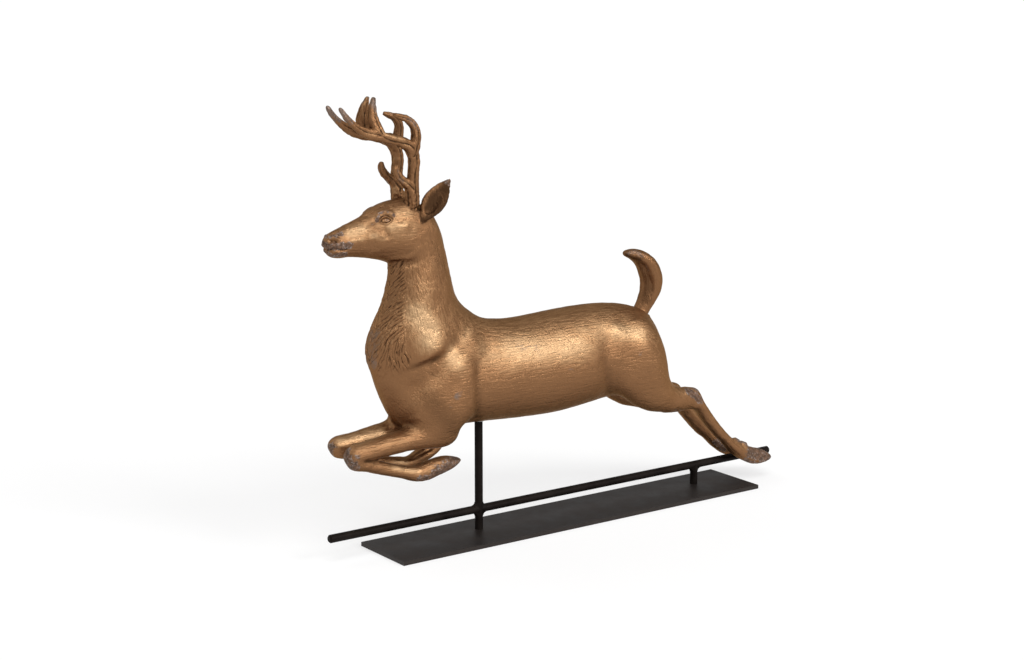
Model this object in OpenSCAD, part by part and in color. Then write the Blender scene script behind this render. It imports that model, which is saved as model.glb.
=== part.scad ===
// Leaping stag statuette: a hollow cast bronze figure, assembled from cast sections,
// that lifts off a black iron stand.
// Millimetres. X runs along the stand with the stag facing -X, the stag's left flank faces -Y, Z is up.
// The origin is on the floor under the middle of the base plate's length, in the plane of the rods.

/* [Base plate] */
// Length of the base plate
plate_l = 445; // [390:1:560]
// Width of the base plate
plate_w = 76; // [50:1:120]
// Thickness of the base plate
plate_t = 4; // [3:0.5:10]
// Distance of the rods behind the plate's centre line
rod_offset = 7; // [0:1:20]

/* [Rods] */
// Diameter of the round bar stock of all the rods
rod_d = 8; // [6:0.5:9]
// Length of the horizontal bar
bar_l = 553; // [460:1:640]
// Clear gap between the base plate and the bar
bar_gap = 16.5; // [10:0.5:22]
// Distance of the upright in front of the middle of the plate
upright_x = 106; // [60:1:150]
// Distance of the rear foot behind the middle of the plate
rear_foot_x = 171; // [120:1:185]
// Bevel round the ends of the bar
bar_bevel = 1.3; // [0.5:0.1:2]
// Radius of the weld fillets between rod and bar
weld_r = 3; // [1.5:0.5:4]

/* [Socket] */
// Depth of the blind bore that takes the upright
socket_depth = 42; // [25:1:60]
// Radial running clearance of the upright in the bore
socket_clearance = 0.08; // [0.04:0.01:0.1]
// Wall of the socket sleeve
sleeve_t = 2.5; // [1.5:0.25:4]

/* [Stag] */
// Length of the stag from nose to hind hoof
stag_l = 543; // [450:1:650]
// How far the soles of the hind hooves hang below the bar's axis
hoof_drop = 9; // [5:0.5:12]
// Gap between the bar and each hind hoof beside it
hoof_gap = 1; // [0.5:0.25:3]
// Width across the barrel
body_w = 82; // [70:1:92]
// Width across the eyes
head_w = 45; // [40:1:54]
// Distance of each foreleg from the middle plane
foreleg_y = 17; // [15:0.5:20]
// Thickness of the cannon bones across
cannon_w = 14; // [12:0.5:16]
// Height of an antler above its seat
antler_h = 100; // [80:1:120]
// Length of an ear
ear_l = 46; // [38:1:54]
// Width of an ear
ear_w = 23; // [20:0.5:28]
// Height of the tail above its seat
tail_h = 66.5; // [50:0.5:80]
// Width across the tail
tail_w = 28; // [20:1:34]
// Wall of the hollow castings
wall = 4; // [3:0.25:5]

/* [Section joints] */
// Gap round the sleeves that join the neck to the head and the torso
sleeve_gap = 0.1; // [0.05:0.05:0.3]
// Diameter of the steel dowels in the legs
dowel_d = 5; // [3:0.5:7]
// Length of the steel dowels in the legs
dowel_l = 24; // [16:1:32]
// Diameter of the tenons on the antlers and the tail
tenon_d = 7; // [5:0.5:8]
// Diameter of the tenons on the ears
ear_tenon_d = 5; // [4:0.5:6]
// Length of the tenons on the antlers and the tail
tenon_l = 9; // [6:0.5:12]
// Length of the tenons on the ears
ear_tenon_l = 3.5; // [3:0.5:6]
// Radial gap round the tenons
tenon_gap = 0.05; // [0.02:0.01:0.2]
// Distance of the shoulders behind the neck's joint
shoulder_setback = 1.5; // [0.5:0.5:4]

/* [Hidden] */

rod_r = rod_d / 2;
bar_z = plate_t + bar_gap + rod_r;
front_x = -upright_x;
sleeve_r = rod_r + socket_clearance + sleeve_t;
round_fn = 48;
tenon_fn = 24;
bore_overlap = 1;
// Thickness of a weld as a share of the rod's diameter
weld_share = 0.7;

// Sides of the rings that the cast sections are lofted from
trunk_sides = 24;
cavity_sides = 12;
limb_sides = 14;
branch_sides = 10;
// Rings between two drawn stations
trunk_steps = 3;
limb_steps = 2;

// Outlines of the stag, drawn from the socket mouth in the belly.
// Each station is a ring: x and z of its lower edge, x and z of its upper edge, then its half width
// as a share of the width that drives it.
torso_outline = [
    [-108, 29, -12, 108, 0.79],
    [-93, 8, 2, 100, 0.9],
    [-56, 0, 20, 96, 0.98],
    [-14, 0, 48, 94.5, 1],
    [34, -3, 82, 96.5, 1],
    [84, -4.5, 120, 98, 0.98],
    [131, -0.5, 152, 97, 0.91],
    [168, 3, 183, 92, 0.82],
    [196, 6, 204, 82, 0.72],
    [213, 18, 213, 68, 0.5],
    [221, 34, 220, 50, 0.2]
];
// From the head to the torso: here the last number runs from the head's width to the torso's
neck_outline = [
    [-99, 163.5, -57, 213, 0],
    [-98, 152, -46.5, 194.5, 0.08],
    [-100.5, 137, -41.5, 174.5, 0.3],
    [-107, 120, -37.5, 153.5, 0.5],
    [-117.5, 102, -33.5, 135.5, 0.7],
    [-125, 82, -28, 122.5, 0.85],
    [-118.5, 57, -20.5, 114.5, 0.95],
    [-108, 29, -12, 108, 1]
];
head_outline = [
    [-168, 183, -168, 190, 0.2],
    [-165.5, 177, -166, 197, 0.45],
    [-157, 174.5, -156, 202, 0.53],
    [-145, 174.5, -143, 206.5, 0.55],
    [-132, 173, -130, 211.5, 0.66],
    [-120, 170.5, -116, 219, 0.86],
    [-108, 167.5, -100, 223.5, 0.98],
    [-103, 165.3, -82, 224, 1],
    [-99, 163.5, -57, 213, 0.94]
];
// The limbs add the distance from the middle plane before the half width, both as shares
shoulder_outline = [
    [-44, 92, -16, 94, 1.2, 1.1],
    [-66, 74, -6, 70, 1.5, 2],
    [-86, 51, -4, 41, 1.55, 2.4],
    [-94, 28, -18, 18, 1.45, 2.4],
    [-86, 6, -38, 3, 1.25, 2.1],
    [-74, -11, -50, -10, 1.05, 1.4]
];
upper_arm_outline = [
    [-36, -1, -39, 6, 1.06, 0.8],
    [-41.5, -12, -49, 12, 1.06, 1.7],
    [-56, -16, -66, 16, 1.06, 2],
    [-80, -13.5, -86, 12.5, 1.03, 2],
    [-99, -13, -101, 8.5, 1, 1.86]
];
left_forearm_outline = [
    [-99, -13, -101, 8.5, 1, 1.86],
    [-118, -14, -119, 6.5, 1, 1.65],
    [-137, -16, -137, 4, 1, 1.5],
    [-148, -18, -149, 3, 1, 1.57],
    [-157, -17, -157, -1, 1, 1.4],
    [-161, -13, -161, -7, 1, 0.7]
];
left_cannon_outline = [
    [-160, -14, -160, -9, 1, 0.7],
    [-155, -22, -152, -8, 1, 1.35],
    [-142, -25, -138, -12, 1, 1.2],
    [-122, -32, -120, -18.5, 1, 1],
    [-102, -38, -100, -25, 1, 1],
    [-86, -44, -85, -28, 1, 1.15],
    [-72, -45, -75, -26.5, 1, 1.2],
    [-60, -42, -66, -24.5, 1, 1.3],
    [-48, -39, -54, -23.5, 1, 1.36],
    [-37, -34, -41, -26, 1, 1],
    [-32, -30.5, -33, -29, 1, 0.3]
];
right_forearm_outline = [
    [-99, -13, -101, 8.5, 1, 1.86],
    [-118, -13.5, -119, 6, 1, 1.65],
    [-136, -14.5, -136, 4, 1, 1.5],
    [-147, -15, -147, 3.5, 1, 1.57],
    [-154, -14, -154, 1, 1, 1.4],
    [-158, -10, -158, -4, 1, 0.7]
];
right_cannon_outline = [
    [-157, -11, -157, -6, 1, 0.7],
    [-152, -18, -149, -5, 1, 1.35],
    [-140, -21, -136, -9, 1, 1.2],
    [-122, -29, -120, -17.5, 1, 1],
    [-100, -36, -98, -24, 1, 1],
    [-84, -41, -82, -27, 1, 1.15],
    [-70, -42, -71, -29, 1, 1.2],
    [-58, -38, -62, -25, 1, 1.3],
    [-46, -34, -52, -21, 1, 1.36],
    [-36, -28, -39, -21, 1, 1],
    [-31, -24.5, -32, -23, 1, 0.3]
];
thigh_outline = [
    [162, 86, 194, 82, 1.2, 1.6],
    [146, 66, 205, 67, 1.6, 2.4],
    [142, 38, 214, 46, 1.72, 2.6],
    [150, 14, 219, 28, 1.62, 2.5],
    [173, -5, 224, 14, 1.45, 2.2],
    [196, -17, 235, 6.5, 1.28, 1.9],
    [218, -21.5, 248.5, 2.5, 1.18, 1.7]
];
hind_leg_outline = [
    [218, -21.5, 248.5, 2.5, 1.18, 1.7],
    [236, -23.5, 258.5, 0.5, 1.1, 1.55],
    [254, -23, 267, -3, 1.05, 1.4],
    [265, -24, 273, -16, 1.03, 1.25],
    [274, -35, 284, -29, 1, 1.1],
    [287, -49.5, 297.5, -45.5, 1, 1],
    [302, -65.5, 313, -60, 0.97, 1],
    [314, -78, 326, -69, 0.95, 1.15],
    [324, -86, 337, -74, 0.93, 1.1],
    [335, -92, 344, -77, 0.93, 1.15],
    [346, -97, 355, -80, 0.93, 1.15],
    [358, -98.5, 366, -85, 0.93, 1.05],
    [370, -96.5, 373, -90, 0.93, 0.7],
    [374.5, -94.5, 375, -93, 0.93, 0.25]
];
// Rings of the hind leg below this height stand beside the bar
hoof_top = -70;
// How far the right hock is drawn in front of the left one, and where along X that fades out
hock_stagger = 8;
// Share of it by which the rear edge of the right leg moves
rear_stagger_share = 0.1;
stagger_from = 190;
stagger_full = 235;
stagger_to = 335;

// An antler's branches, drawn from its seat: x, distance from the middle plane, z and radius
antler_beam = [
    [0.5, 12, -2, 6.2], [-0.5, 13, 10, 5.6], [0, 14, 26, 5.2], [1, 14, 42, 5.2],
    [-3.5, 14.5, 53, 5.2], [-16, 14.5, 60, 5], [-30, 14, 63, 4.8], [-44, 13, 66.5, 4.5],
    [-55, 12.5, 71.8, 3.6], [-64.5, 12, 79, 2.9], [-71, 11.5, 86, 2.5], [-75.5, 11, 93, 1.6]
];
antler_brow_tine = [
    [1, 13, 12, 4.5], [-7, 13, 20, 4], [-14.5, 12.5, 27, 3.6], [-18, 12, 33, 3], [-18, 11.5, 38, 1.8]
];
antler_rear_tine = [
    [-1, 14.5, 47, 4.6], [1.5, 15, 55, 4.6], [3, 15, 63, 4.4], [2, 13, 72, 3.9],
    [-5, 11, 79, 3.3], [-17, 9, 83, 1.8]
];
antler_top_tine = [
    [-34, 13.5, 64, 4.2], [-38, 12, 72, 4.2], [-40, 9, 82, 3.8],
    [-38.5, 6.5, 92, 3.3], [-35.5, 5, 100, 2]
];
antler_seat = [-82, 220];
// The tail: a ring's front edge, rear edge and half width, drawn from its seat
tail_outline = [
    [-14, -6, 4, -13, 0.6],
    [-2, 6, 12, 1, 0.68],
    [6, 20, 24.5, 18, 0.85],
    [5.5, 34, 26, 36, 1],
    [-1, 44.5, 16.5, 53, 0.97],
    [-8.5, 52, 2.5, 61.5, 0.8],
    [-15, 56, -10, 63.5, 0.53],
    [-18.5, 58.5, -17.5, 61.5, 0.17]
];
tail_seat = [198, 84];
tail_lean = 20;
// An ear: distance along it, half width and half thickness as shares of its length, width and width
ear_outline = [
    [0, 0.3, 0.26], [0.14, 0.62, 0.3], [0.32, 0.95, 0.26], [0.5, 1, 0.2],
    [0.7, 0.78, 0.14], [0.88, 0.4, 0.09], [1, 0.06, 0.05]
];
ear_seat = [-75.2, 18, 206];
ear_axis = [0.53, 0.24, 0.81];
ear_front = [-0.6, 0.78, 0.16];
// Size of the bowl as a share of the ear, and how far it is moved out and up as a share of width and length
ear_bowl_share = 0.8;
ear_bowl_shift = 0.16;
// How far the neck's sleeves reach towards the next station, and how far they run back into the neck
sleeve_share = 0.6;
sleeve_root = 0.2;
// Stations at each end of the neck where the wall is doubled for the sleeves
doubled_stations = 2;
// Stations left solid at the rump and the muzzle
rump_solid = 2;
muzzle_solid = 3;
// How far the cavities run on past their open ends, as a share of a station
cavity_lead = 0.5;

function column(rows, i) = [for (row = rows) row[i]];
function ends_of(rows, i) = [min(column(rows, i)), max(column(rows, i))];
drawn_l = ends_of(hind_leg_outline, 2)[1] - ends_of(head_outline, 2)[0];
stag_k = stag_l / drawn_l;
antler_k = antler_h / ends_of(antler_top_tine, 2)[1];
tail_k = tail_h / ends_of(tail_outline, 3)[1];
// The hind hooves set the height of the belly and how far apart the hind legs stand
belly_z = bar_z - hoof_drop - ends_of(hind_leg_outline, 1)[0] * stag_k;
upright_top = belly_z + socket_depth;
hoof_rings = [for (s = hind_leg_outline) if (s[1] < hoof_top) s];
hind_leg_y = (rod_r + hoof_gap + ends_of(hoof_rings, 5)[1] * cannon_w / 2) / ends_of(hoof_rings, 4)[0];

// A smooth curve through the stations, with each number of a row treated alike
function curve_at(a, b, c, d, t) =
    b + (c - a) * t / 2 + (2 * a - 5 * b + 4 * c - d) * t * t / 2 + (3 * b - a - 3 * c + d) * t * t * t / 2;
function smooth(rows, steps) = let (last = len(rows) - 1) concat(
    [
        for (i = [0 : last - 1]) for (s = [0 : steps - 1])
            curve_at(rows[max(i - 1, 0)], rows[i], rows[i + 1], rows[min(i + 2, last)], s / steps)
    ],
    [rows[last]]
);

// Rings in one form: lower edge, upper edge, distance from the middle plane, half width
function trunk_rings(outline, width) = [
    for (s = outline)
        [s[0] * stag_k, s[1] * stag_k, s[2] * stag_k, s[3] * stag_k, 0, s[4] * width / 2]
];
function limb_rings(outline, side, offset) = [
    for (s = outline)
        [s[0] * stag_k, s[1] * stag_k, s[2] * stag_k, s[3] * stag_k,
         side * s[4] * offset, s[5] * cannon_w / 2]
];
head_end_w = head_outline[len(head_outline) - 1][4] * head_w;
torso_end_w = torso_outline[0][4] * body_w;
torso_rings = smooth(trunk_rings(torso_outline, body_w), trunk_steps);
head_rings = smooth(trunk_rings(head_outline, head_w), trunk_steps);
neck_rings = smooth(
    [
        for (s = neck_outline)
            [s[0] * stag_k, s[1] * stag_k, s[2] * stag_k, s[3] * stag_k, 0,
             (head_end_w + (torso_end_w - head_end_w) * s[4]) / 2]
    ],
    trunk_steps
);

// A ring drawn in by a wall
function drawn_in(ring, d) =
    let (across = [ring[2] - ring[0], ring[3] - ring[1]], step = across * d / norm(across))
    [ring[0] + step[0], ring[1] + step[1], ring[2] - step[0], ring[3] - step[1], ring[4], ring[5] - d];
function drawn_in_all(rings, d) = [for (ring = rings) drawn_in(ring, d)];
// The rings carried on past the first one
function led_in(rings) = concat([rings[0] * (1 + cavity_lead) - rings[1] * cavity_lead], rings);
function reversed(rows) = [for (i = [len(rows) - 1 : -1 : 0]) rows[i]];

// The right hind leg's rings, drawn forward about the hock
function stagger_share(x) =
    let (
        rise = (x - stagger_from) / (stagger_full - stagger_from),
        fall = (stagger_to - x) / (stagger_to - stagger_full)
    )
    max(0, min(1, rise, fall));
function staggered(outline, amount) = [
    for (s = outline)
        let (dx = amount * stagger_share((s[0] + s[2]) / 2))
        [s[0] - dx, s[1], s[2] - dx * rear_stagger_share, s[3], s[4], s[5]]
];

function ring_point(ring, a) = [
    (ring[0] + ring[2]) / 2 + (ring[2] - ring[0]) / 2 * sin(a),
    ring[4] + ring[5] * cos(a),
    (ring[1] + ring[3]) / 2 + (ring[3] - ring[1]) / 2 * sin(a)
];
function ring_middle(ring) = [(ring[0] + ring[2]) / 2, ring[4], (ring[1] + ring[3]) / 2];
function ring_axis(ring) = cross([0, 1, 0], [ring[2] - ring[0], 0, ring[3] - ring[1]]);

// A closed skin over rings
module loft(rings, sides) {
    last = len(rings) - 1;
    points = [for (ring = rings) for (j = [0 : sides - 1]) ring_point(ring, 360 * j / sides)];
    forward = ring_axis(rings[0]) * (ring_middle(rings[1]) - ring_middle(rings[0])) > 0;
    quads = [
        for (i = [0 : last - 1]) for (j = [0 : sides - 1])
            let (k = (j + 1) % sides) [i * sides + j, (i + 1) * sides + j, (i + 1) * sides + k, i * sides + k]
    ];
    halves = [for (q = quads) each [[q[0], q[1], q[2]], [q[0], q[2], q[3]]]];
    caps = [[for (j = [0 : sides - 1]) j], [for (j = [sides - 1 : -1 : 0]) last * sides + j]];
    faces = concat(halves, caps);
    polyhedron(points, forward ? faces : [for (f = faces) reversed(f)]);
}

// Overlapping masses of one casting, merged into one skin at the size drawn
module one_skin() {
    resize([0, 0, 0]) children();
}

// A tapering round branch through points of x, y, z and radius
function branch_rings(points) = [
    for (i = [0 : len(points) - 1])
        let (
            a = points[max(i - 1, 0)],
            b = points[min(i + 1, len(points) - 1)],
            along = [b[0] - a[0], b[2] - a[2]] / norm([b[0] - a[0], b[2] - a[2]]),
            p = points[i]
        )
        [p[0] + along[1] * p[3], p[2] - along[0] * p[3],
         p[0] - along[1] * p[3], p[2] + along[0] * p[3], p[1], p[3]]
];
module branch(points) {
    loft(branch_rings(smooth(points, limb_steps)), branch_sides);
}

module on_stag() {
    translate([front_x, 0, belly_z]) children();
}
// Sets Z along a ring's axis
module on_ring(ring) {
    axis = ring_axis(ring);
    translate(ring_middle(ring)) rotate([0, atan2(axis[0], axis[2]), 0]) children();
}
module to_side(side) {
    if (side < 0) mirror([0, 1, 0]) children();
    else children();
}
// A hole whose flats touch a round pin of diameter d
module pin_hole(d, h) {
    cylinder(r = d / 2 / cos(180 / round_fn), h = h, center = true, $fn = round_fn);
}
// A tenon along -Z that runs a little way up into its own piece, or the hole for it
module tenon(d, l, gap = 0) {
    root = d / 2;
    translate([0, 0, -l - gap]) cylinder(d = d + 2 * gap, h = l + root + 2 * gap, $fn = tenon_fn);
}

// Stand
module base_plate() {
    color("#2b2725") difference() {
        translate([-plate_l / 2, -plate_w / 2 - rod_offset, 0]) cube([plate_l, plate_w, plate_t]);
        for (x = [front_x, rear_foot_x])
            translate([x, 0, -bore_overlap])
                cylinder(d = rod_d, h = plate_t + 2 * bore_overlap, $fn = round_fn);
    }
}

module bar_cylinder() {
    translate([-bar_l / 2, 0, bar_z]) rotate([0, 90, 0]) cylinder(d = rod_d, h = bar_l, $fn = round_fn);
}

module bar() {
    face_r = rod_r - bar_bevel;
    profile = [
        [0, 0], [face_r, 0], [rod_r, bar_bevel],
        [rod_r, bar_l - bar_bevel], [face_r, bar_l], [0, bar_l]
    ];
    color("#231f1d") translate([-bar_l / 2, 0, bar_z]) rotate([0, 90, 0])
        rotate_extrude($fn = round_fn) polygon(profile);
}

module foot(x) {
    color("#231f1d") difference() {
        translate([x, 0, 0]) cylinder(d = rod_d, h = bar_z, $fn = round_fn);
        bar_cylinder();
    }
}

module upright() {
    color("#231f1d") difference() {
        translate([front_x, 0, bar_z]) cylinder(d = rod_d, h = upright_top - bar_z, $fn = round_fn);
        bar_cylinder();
    }
}

// One weld fillet in the corner between the bar and a rod at x
module weld(x, along, up) {
    reach = rod_r + weld_r;
    difference() {
        translate([x, 0, bar_z]) mirror([along < 0 ? 1 : 0, 0, 0]) mirror([0, 0, up < 0 ? 1 : 0])
            rotate([90, 0, 0]) linear_extrude(height = rod_d * weld_share, center = true) difference() {
                square(reach);
                translate([reach, reach]) circle(r = weld_r, $fn = round_fn);
            }
        bar_cylinder();
        translate([x, 0, 0]) cylinder(d = rod_d, h = upright_top, $fn = round_fn);
    }
}

module front_welds() {
    color("#231f1d") for (along = [-1, 1]) for (up = [-1, 1]) weld(front_x, along, up);
}

module rear_welds() {
    color("#231f1d") for (along = [-1, 1]) weld(rear_foot_x, along, -1);
}

// Sleeve in the belly that drops over the upright
module post_socket() {
    color("#6f6a64") on_stag() difference() {
        cylinder(r = sleeve_r, h = socket_depth + sleeve_t, $fn = round_fn);
        translate([0, 0, -bore_overlap])
            cylinder(r = rod_r + socket_clearance, h = socket_depth + bore_overlap, $fn = round_fn);
    }
}

// Stag
function thigh_rings(side) =
    limb_rings(staggered(thigh_outline, side > 0 ? hock_stagger : 0), side, hind_leg_y);
function hind_leg_rings(side) =
    limb_rings(staggered(hind_leg_outline, side > 0 ? hock_stagger : 0), side, hind_leg_y);
function fore_stump(side) = limb_rings(upper_arm_outline, side, foreleg_y);

// All that lies behind the neck's joint
module behind_neck() {
    reach = stag_l;
    on_ring(torso_rings[0]) translate([-reach, -reach, shoulder_setback]) cube(2 * reach);
}

module torso_masses() {
    loft(torso_rings, trunk_sides);
    for (side = [-1, 1]) {
        intersection() {
            loft(smooth(limb_rings(shoulder_outline, side, foreleg_y), limb_steps), limb_sides);
            behind_neck();
        }
        loft(smooth(fore_stump(side), limb_steps), limb_sides);
        loft(smooth(thigh_rings(side), limb_steps), limb_sides);
    }
}

module torso_cavity() {
    last = len(torso_outline) - 1 - rump_solid;
    inner = [for (i = [0 : last]) torso_rings[i * trunk_steps]];
    loft(drawn_in_all(led_in(inner), wall), cavity_sides);
}

// The last ring of each leg's stump, left and right, fore and hind
leg_seats = [
    for (side = [-1, 1]) each [
        let (stump = fore_stump(side)) stump[len(stump) - 1],
        let (stump = thigh_rings(side)) stump[len(stump) - 1]
    ]
];

module dowel_holes() {
    for (ring = leg_seats) on_ring(ring) pin_hole(dowel_d, dowel_l);
}

module torso() {
    color("#a5702f") on_stag() one_skin() difference() {
        torso_masses();
        torso_cavity();
        dowel_holes();
        pin_hole(2 * sleeve_r, socket_depth);
        tail_tenon(tenon_gap);
    }
}

// Rings of a sleeve from inside the neck, through the joint's ring, part of the way to the next station
function sleeve_rings(seat, next) =
    [for (share = [-sleeve_root, 0, sleeve_share]) seat + (next - seat) * share];

module neck() {
    low_sleeve = sleeve_rings(torso_rings[0], torso_rings[trunk_steps]);
    head_last = len(head_rings) - 1;
    high_sleeve = sleeve_rings(head_rings[head_last], head_rings[head_last - trunk_steps]);
    stations = [for (i = [0 : len(neck_outline) - 1]) neck_rings[i * trunk_steps]];
    last = len(stations) - 1;
    bore = concat(
        [drawn_in(high_sleeve[2], 2 * wall)],
        [for (i = [0 : last]) drawn_in(stations[i], min(i, last - i) < doubled_stations ? 2 * wall : wall)],
        [drawn_in(low_sleeve[2], 2 * wall)]
    );
    color("#a5702f") on_stag() one_skin() difference() {
        union() {
            loft(neck_rings, trunk_sides);
            loft(drawn_in_all(low_sleeve, wall + sleeve_gap), cavity_sides);
            loft(drawn_in_all(high_sleeve, wall + sleeve_gap), cavity_sides);
        }
        loft(bore, cavity_sides);
    }
}

module head_skin() {
    loft(head_rings, trunk_sides);
}

module head_cavity() {
    last = len(head_outline) - 1;
    inner = [for (i = [last : -1 : muzzle_solid]) head_rings[i * trunk_steps]];
    loft(drawn_in_all(led_in(inner), wall), cavity_sides);
}

module head() {
    color("#a5702f") on_stag() one_skin() difference() {
        head_skin();
        head_cavity();
        for (side = [-1, 1]) to_side(side) {
            antler_tenon(tenon_gap);
            ear_tenon(tenon_gap);
        }
    }
}

module at_antler() {
    translate([antler_seat[0] * stag_k, 0, antler_seat[1] * stag_k]) scale(antler_k) children();
}

module antler_tenon(gap = 0) {
    translate([antler_seat[0] * stag_k, antler_beam[0][1] * antler_k, antler_seat[1] * stag_k])
        tenon(tenon_d, tenon_l, gap);
}

module antler(side) {
    color("#8e6a3c") on_stag() one_skin() to_side(side) {
        difference() {
            at_antler() {
                branch(antler_beam);
                branch(antler_brow_tine);
                branch(antler_rear_tine);
                branch(antler_top_tine);
            }
            head_skin();
        }
        antler_tenon();
    }
}

// An ear stands along its own axis, with its bowl facing front
module at_ear() {
    across = cross(ear_front, ear_axis);
    out = cross(ear_axis, across);
    place = ear_seat * stag_k;
    multmatrix([
        [across[0], out[0], ear_axis[0], place[0]],
        [across[1], out[1], ear_axis[1], place[1]],
        [across[2], out[2], ear_axis[2], place[2]],
        [0, 0, 0, 1]
    ]) children();
}

function ear_rings() = [
    for (s = ear_outline)
        [-s[1] * ear_w / 2, s[0] * ear_l, s[1] * ear_w / 2, s[0] * ear_l, 0, s[2] * ear_w / 2]
];

module ear_leaf() {
    loft(smooth(ear_rings(), limb_steps), limb_sides);
}

module ear_bowl() {
    translate([0, ear_w * ear_bowl_shift, ear_l * ear_bowl_shift]) scale(ear_bowl_share) ear_leaf();
}

module ear_tenon(gap = 0) {
    at_ear() tenon(ear_tenon_d, ear_tenon_l, gap);
}

module ear(side) {
    color("#8a6334") on_stag() one_skin() to_side(side) {
        difference() {
            at_ear() difference() {
                ear_leaf();
                ear_bowl();
            }
            head_skin();
        }
        ear_tenon();
    }
}

module tail_tenon(gap = 0) {
    translate([tail_seat[0] * stag_k, 0, tail_seat[1] * stag_k]) rotate([0, tail_lean, 0])
        tenon(tenon_d, tenon_l, gap);
}

module tail() {
    rings = [
        for (s = tail_outline)
            [s[0] * tail_k + tail_seat[0] * stag_k, s[1] * tail_k + tail_seat[1] * stag_k,
             s[2] * tail_k + tail_seat[0] * stag_k, s[3] * tail_k + tail_seat[1] * stag_k,
             0, s[4] * tail_w / 2]
    ];
    color("#96662f") on_stag() one_skin() {
        difference() {
            loft(smooth(rings, limb_steps), limb_sides);
            torso_masses();
        }
        tail_tenon();
    }
}

module foreleg(side, forearm, cannon) {
    color("#a5702f") on_stag() one_skin() difference() {
        union() {
            loft(smooth(limb_rings(forearm, side, foreleg_y), limb_steps), limb_sides);
            loft(smooth(limb_rings(cannon, side, foreleg_y), limb_steps), limb_sides);
        }
        dowel_holes();
    }
}

module hind_leg(side) {
    color("#a5702f") on_stag() one_skin() difference() {
        loft(smooth(hind_leg_rings(side), limb_steps), limb_sides);
        dowel_holes();
    }
}

module leg_dowels() {
    color("#8c8c8c") on_stag() for (ring = leg_seats)
        on_ring(ring) cylinder(d = dowel_d, h = dowel_l, center = true, $fn = round_fn);
}

base_plate();
bar();
foot(front_x);  // front_foot
foot(rear_foot_x);  // rear_foot
upright();
front_welds();
rear_welds();
post_socket();
torso();
neck();
head();
antler(-1);  // left_antler
antler(1);  // right_antler
ear(-1);  // left_ear
ear(1);  // right_ear
tail();
foreleg(-1, left_forearm_outline, left_cannon_outline);  // left_foreleg
foreleg(1, right_forearm_outline, right_cannon_outline);  // right_foreleg
hind_leg(-1);  // left_hind_leg
hind_leg(1);  // right_hind_leg
leg_dowels();
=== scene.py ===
import math

import bmesh
import bpy
import numpy as np
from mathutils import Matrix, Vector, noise
from mathutils.bvhtree import BVHTree


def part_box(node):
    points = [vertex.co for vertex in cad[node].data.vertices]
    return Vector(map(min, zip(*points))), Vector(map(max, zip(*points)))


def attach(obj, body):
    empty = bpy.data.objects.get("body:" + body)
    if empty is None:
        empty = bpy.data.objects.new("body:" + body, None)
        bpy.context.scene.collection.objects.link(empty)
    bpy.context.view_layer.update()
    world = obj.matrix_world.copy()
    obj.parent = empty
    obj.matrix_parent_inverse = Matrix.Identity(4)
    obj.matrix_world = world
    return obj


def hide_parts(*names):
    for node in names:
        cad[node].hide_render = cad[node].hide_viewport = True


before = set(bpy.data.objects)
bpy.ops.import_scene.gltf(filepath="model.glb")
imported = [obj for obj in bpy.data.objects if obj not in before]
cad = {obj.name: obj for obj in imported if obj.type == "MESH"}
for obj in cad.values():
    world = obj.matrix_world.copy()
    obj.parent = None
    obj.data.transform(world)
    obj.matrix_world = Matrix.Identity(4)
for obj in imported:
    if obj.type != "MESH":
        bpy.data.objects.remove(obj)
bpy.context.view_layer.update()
scene = bpy.context.scene

# Lengths are in millimetres from the mouth of the stag's socket, unless they say otherwise.
# Paths on the stag give its left side with y counted positive outwards, and count for both sides.
MM = 0.001
socket_low, socket_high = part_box("post_socket")
MOUTH = np.array([(socket_low.x + socket_high.x) / 2, 0.0, socket_low.z])

# Skin of the stag
ANTLERS = ["left_antler", "right_antler"]
EARS = ["left_ear", "right_ear"]
FORELEGS = ["left_foreleg", "right_foreleg"]
HIND_LEGS = ["left_hind_leg", "right_hind_leg"]
CASTINGS = ["torso", "neck", "head", *ANTLERS, *EARS, "tail", *FORELEGS, *HIND_LEGS]
# These only close the holes in the castings, and get no skin
FILLERS = ["post_socket", "leg_dowels"]
NODES = CASTINGS + FILLERS
VOXEL = 0.9
SMOOTHING_STEP = 0.5
# Width over which the facets of each casting are smoothed out
SMOOTH_WIDTH = {
    "torso": 6.0, "neck": 5.0, "head": 3.2, **dict.fromkeys(["tail", *FORELEGS, *HIND_LEGS], 2.2),
    **dict.fromkeys(ANTLERS, 1.1), **dict.fromkeys(EARS + FILLERS, 0.9),
}
WIDTH_ROUNDS, REFINED_ROUNDS = 12, 2


def read(collection, field, width=1, kind=np.float32):
    """A field of all the items of a mesh as an array, one row an item."""
    flat = np.empty(len(collection) * width, kind)
    collection.foreach_get(field, flat)
    return flat.reshape(-1, width) if width > 1 else flat


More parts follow.
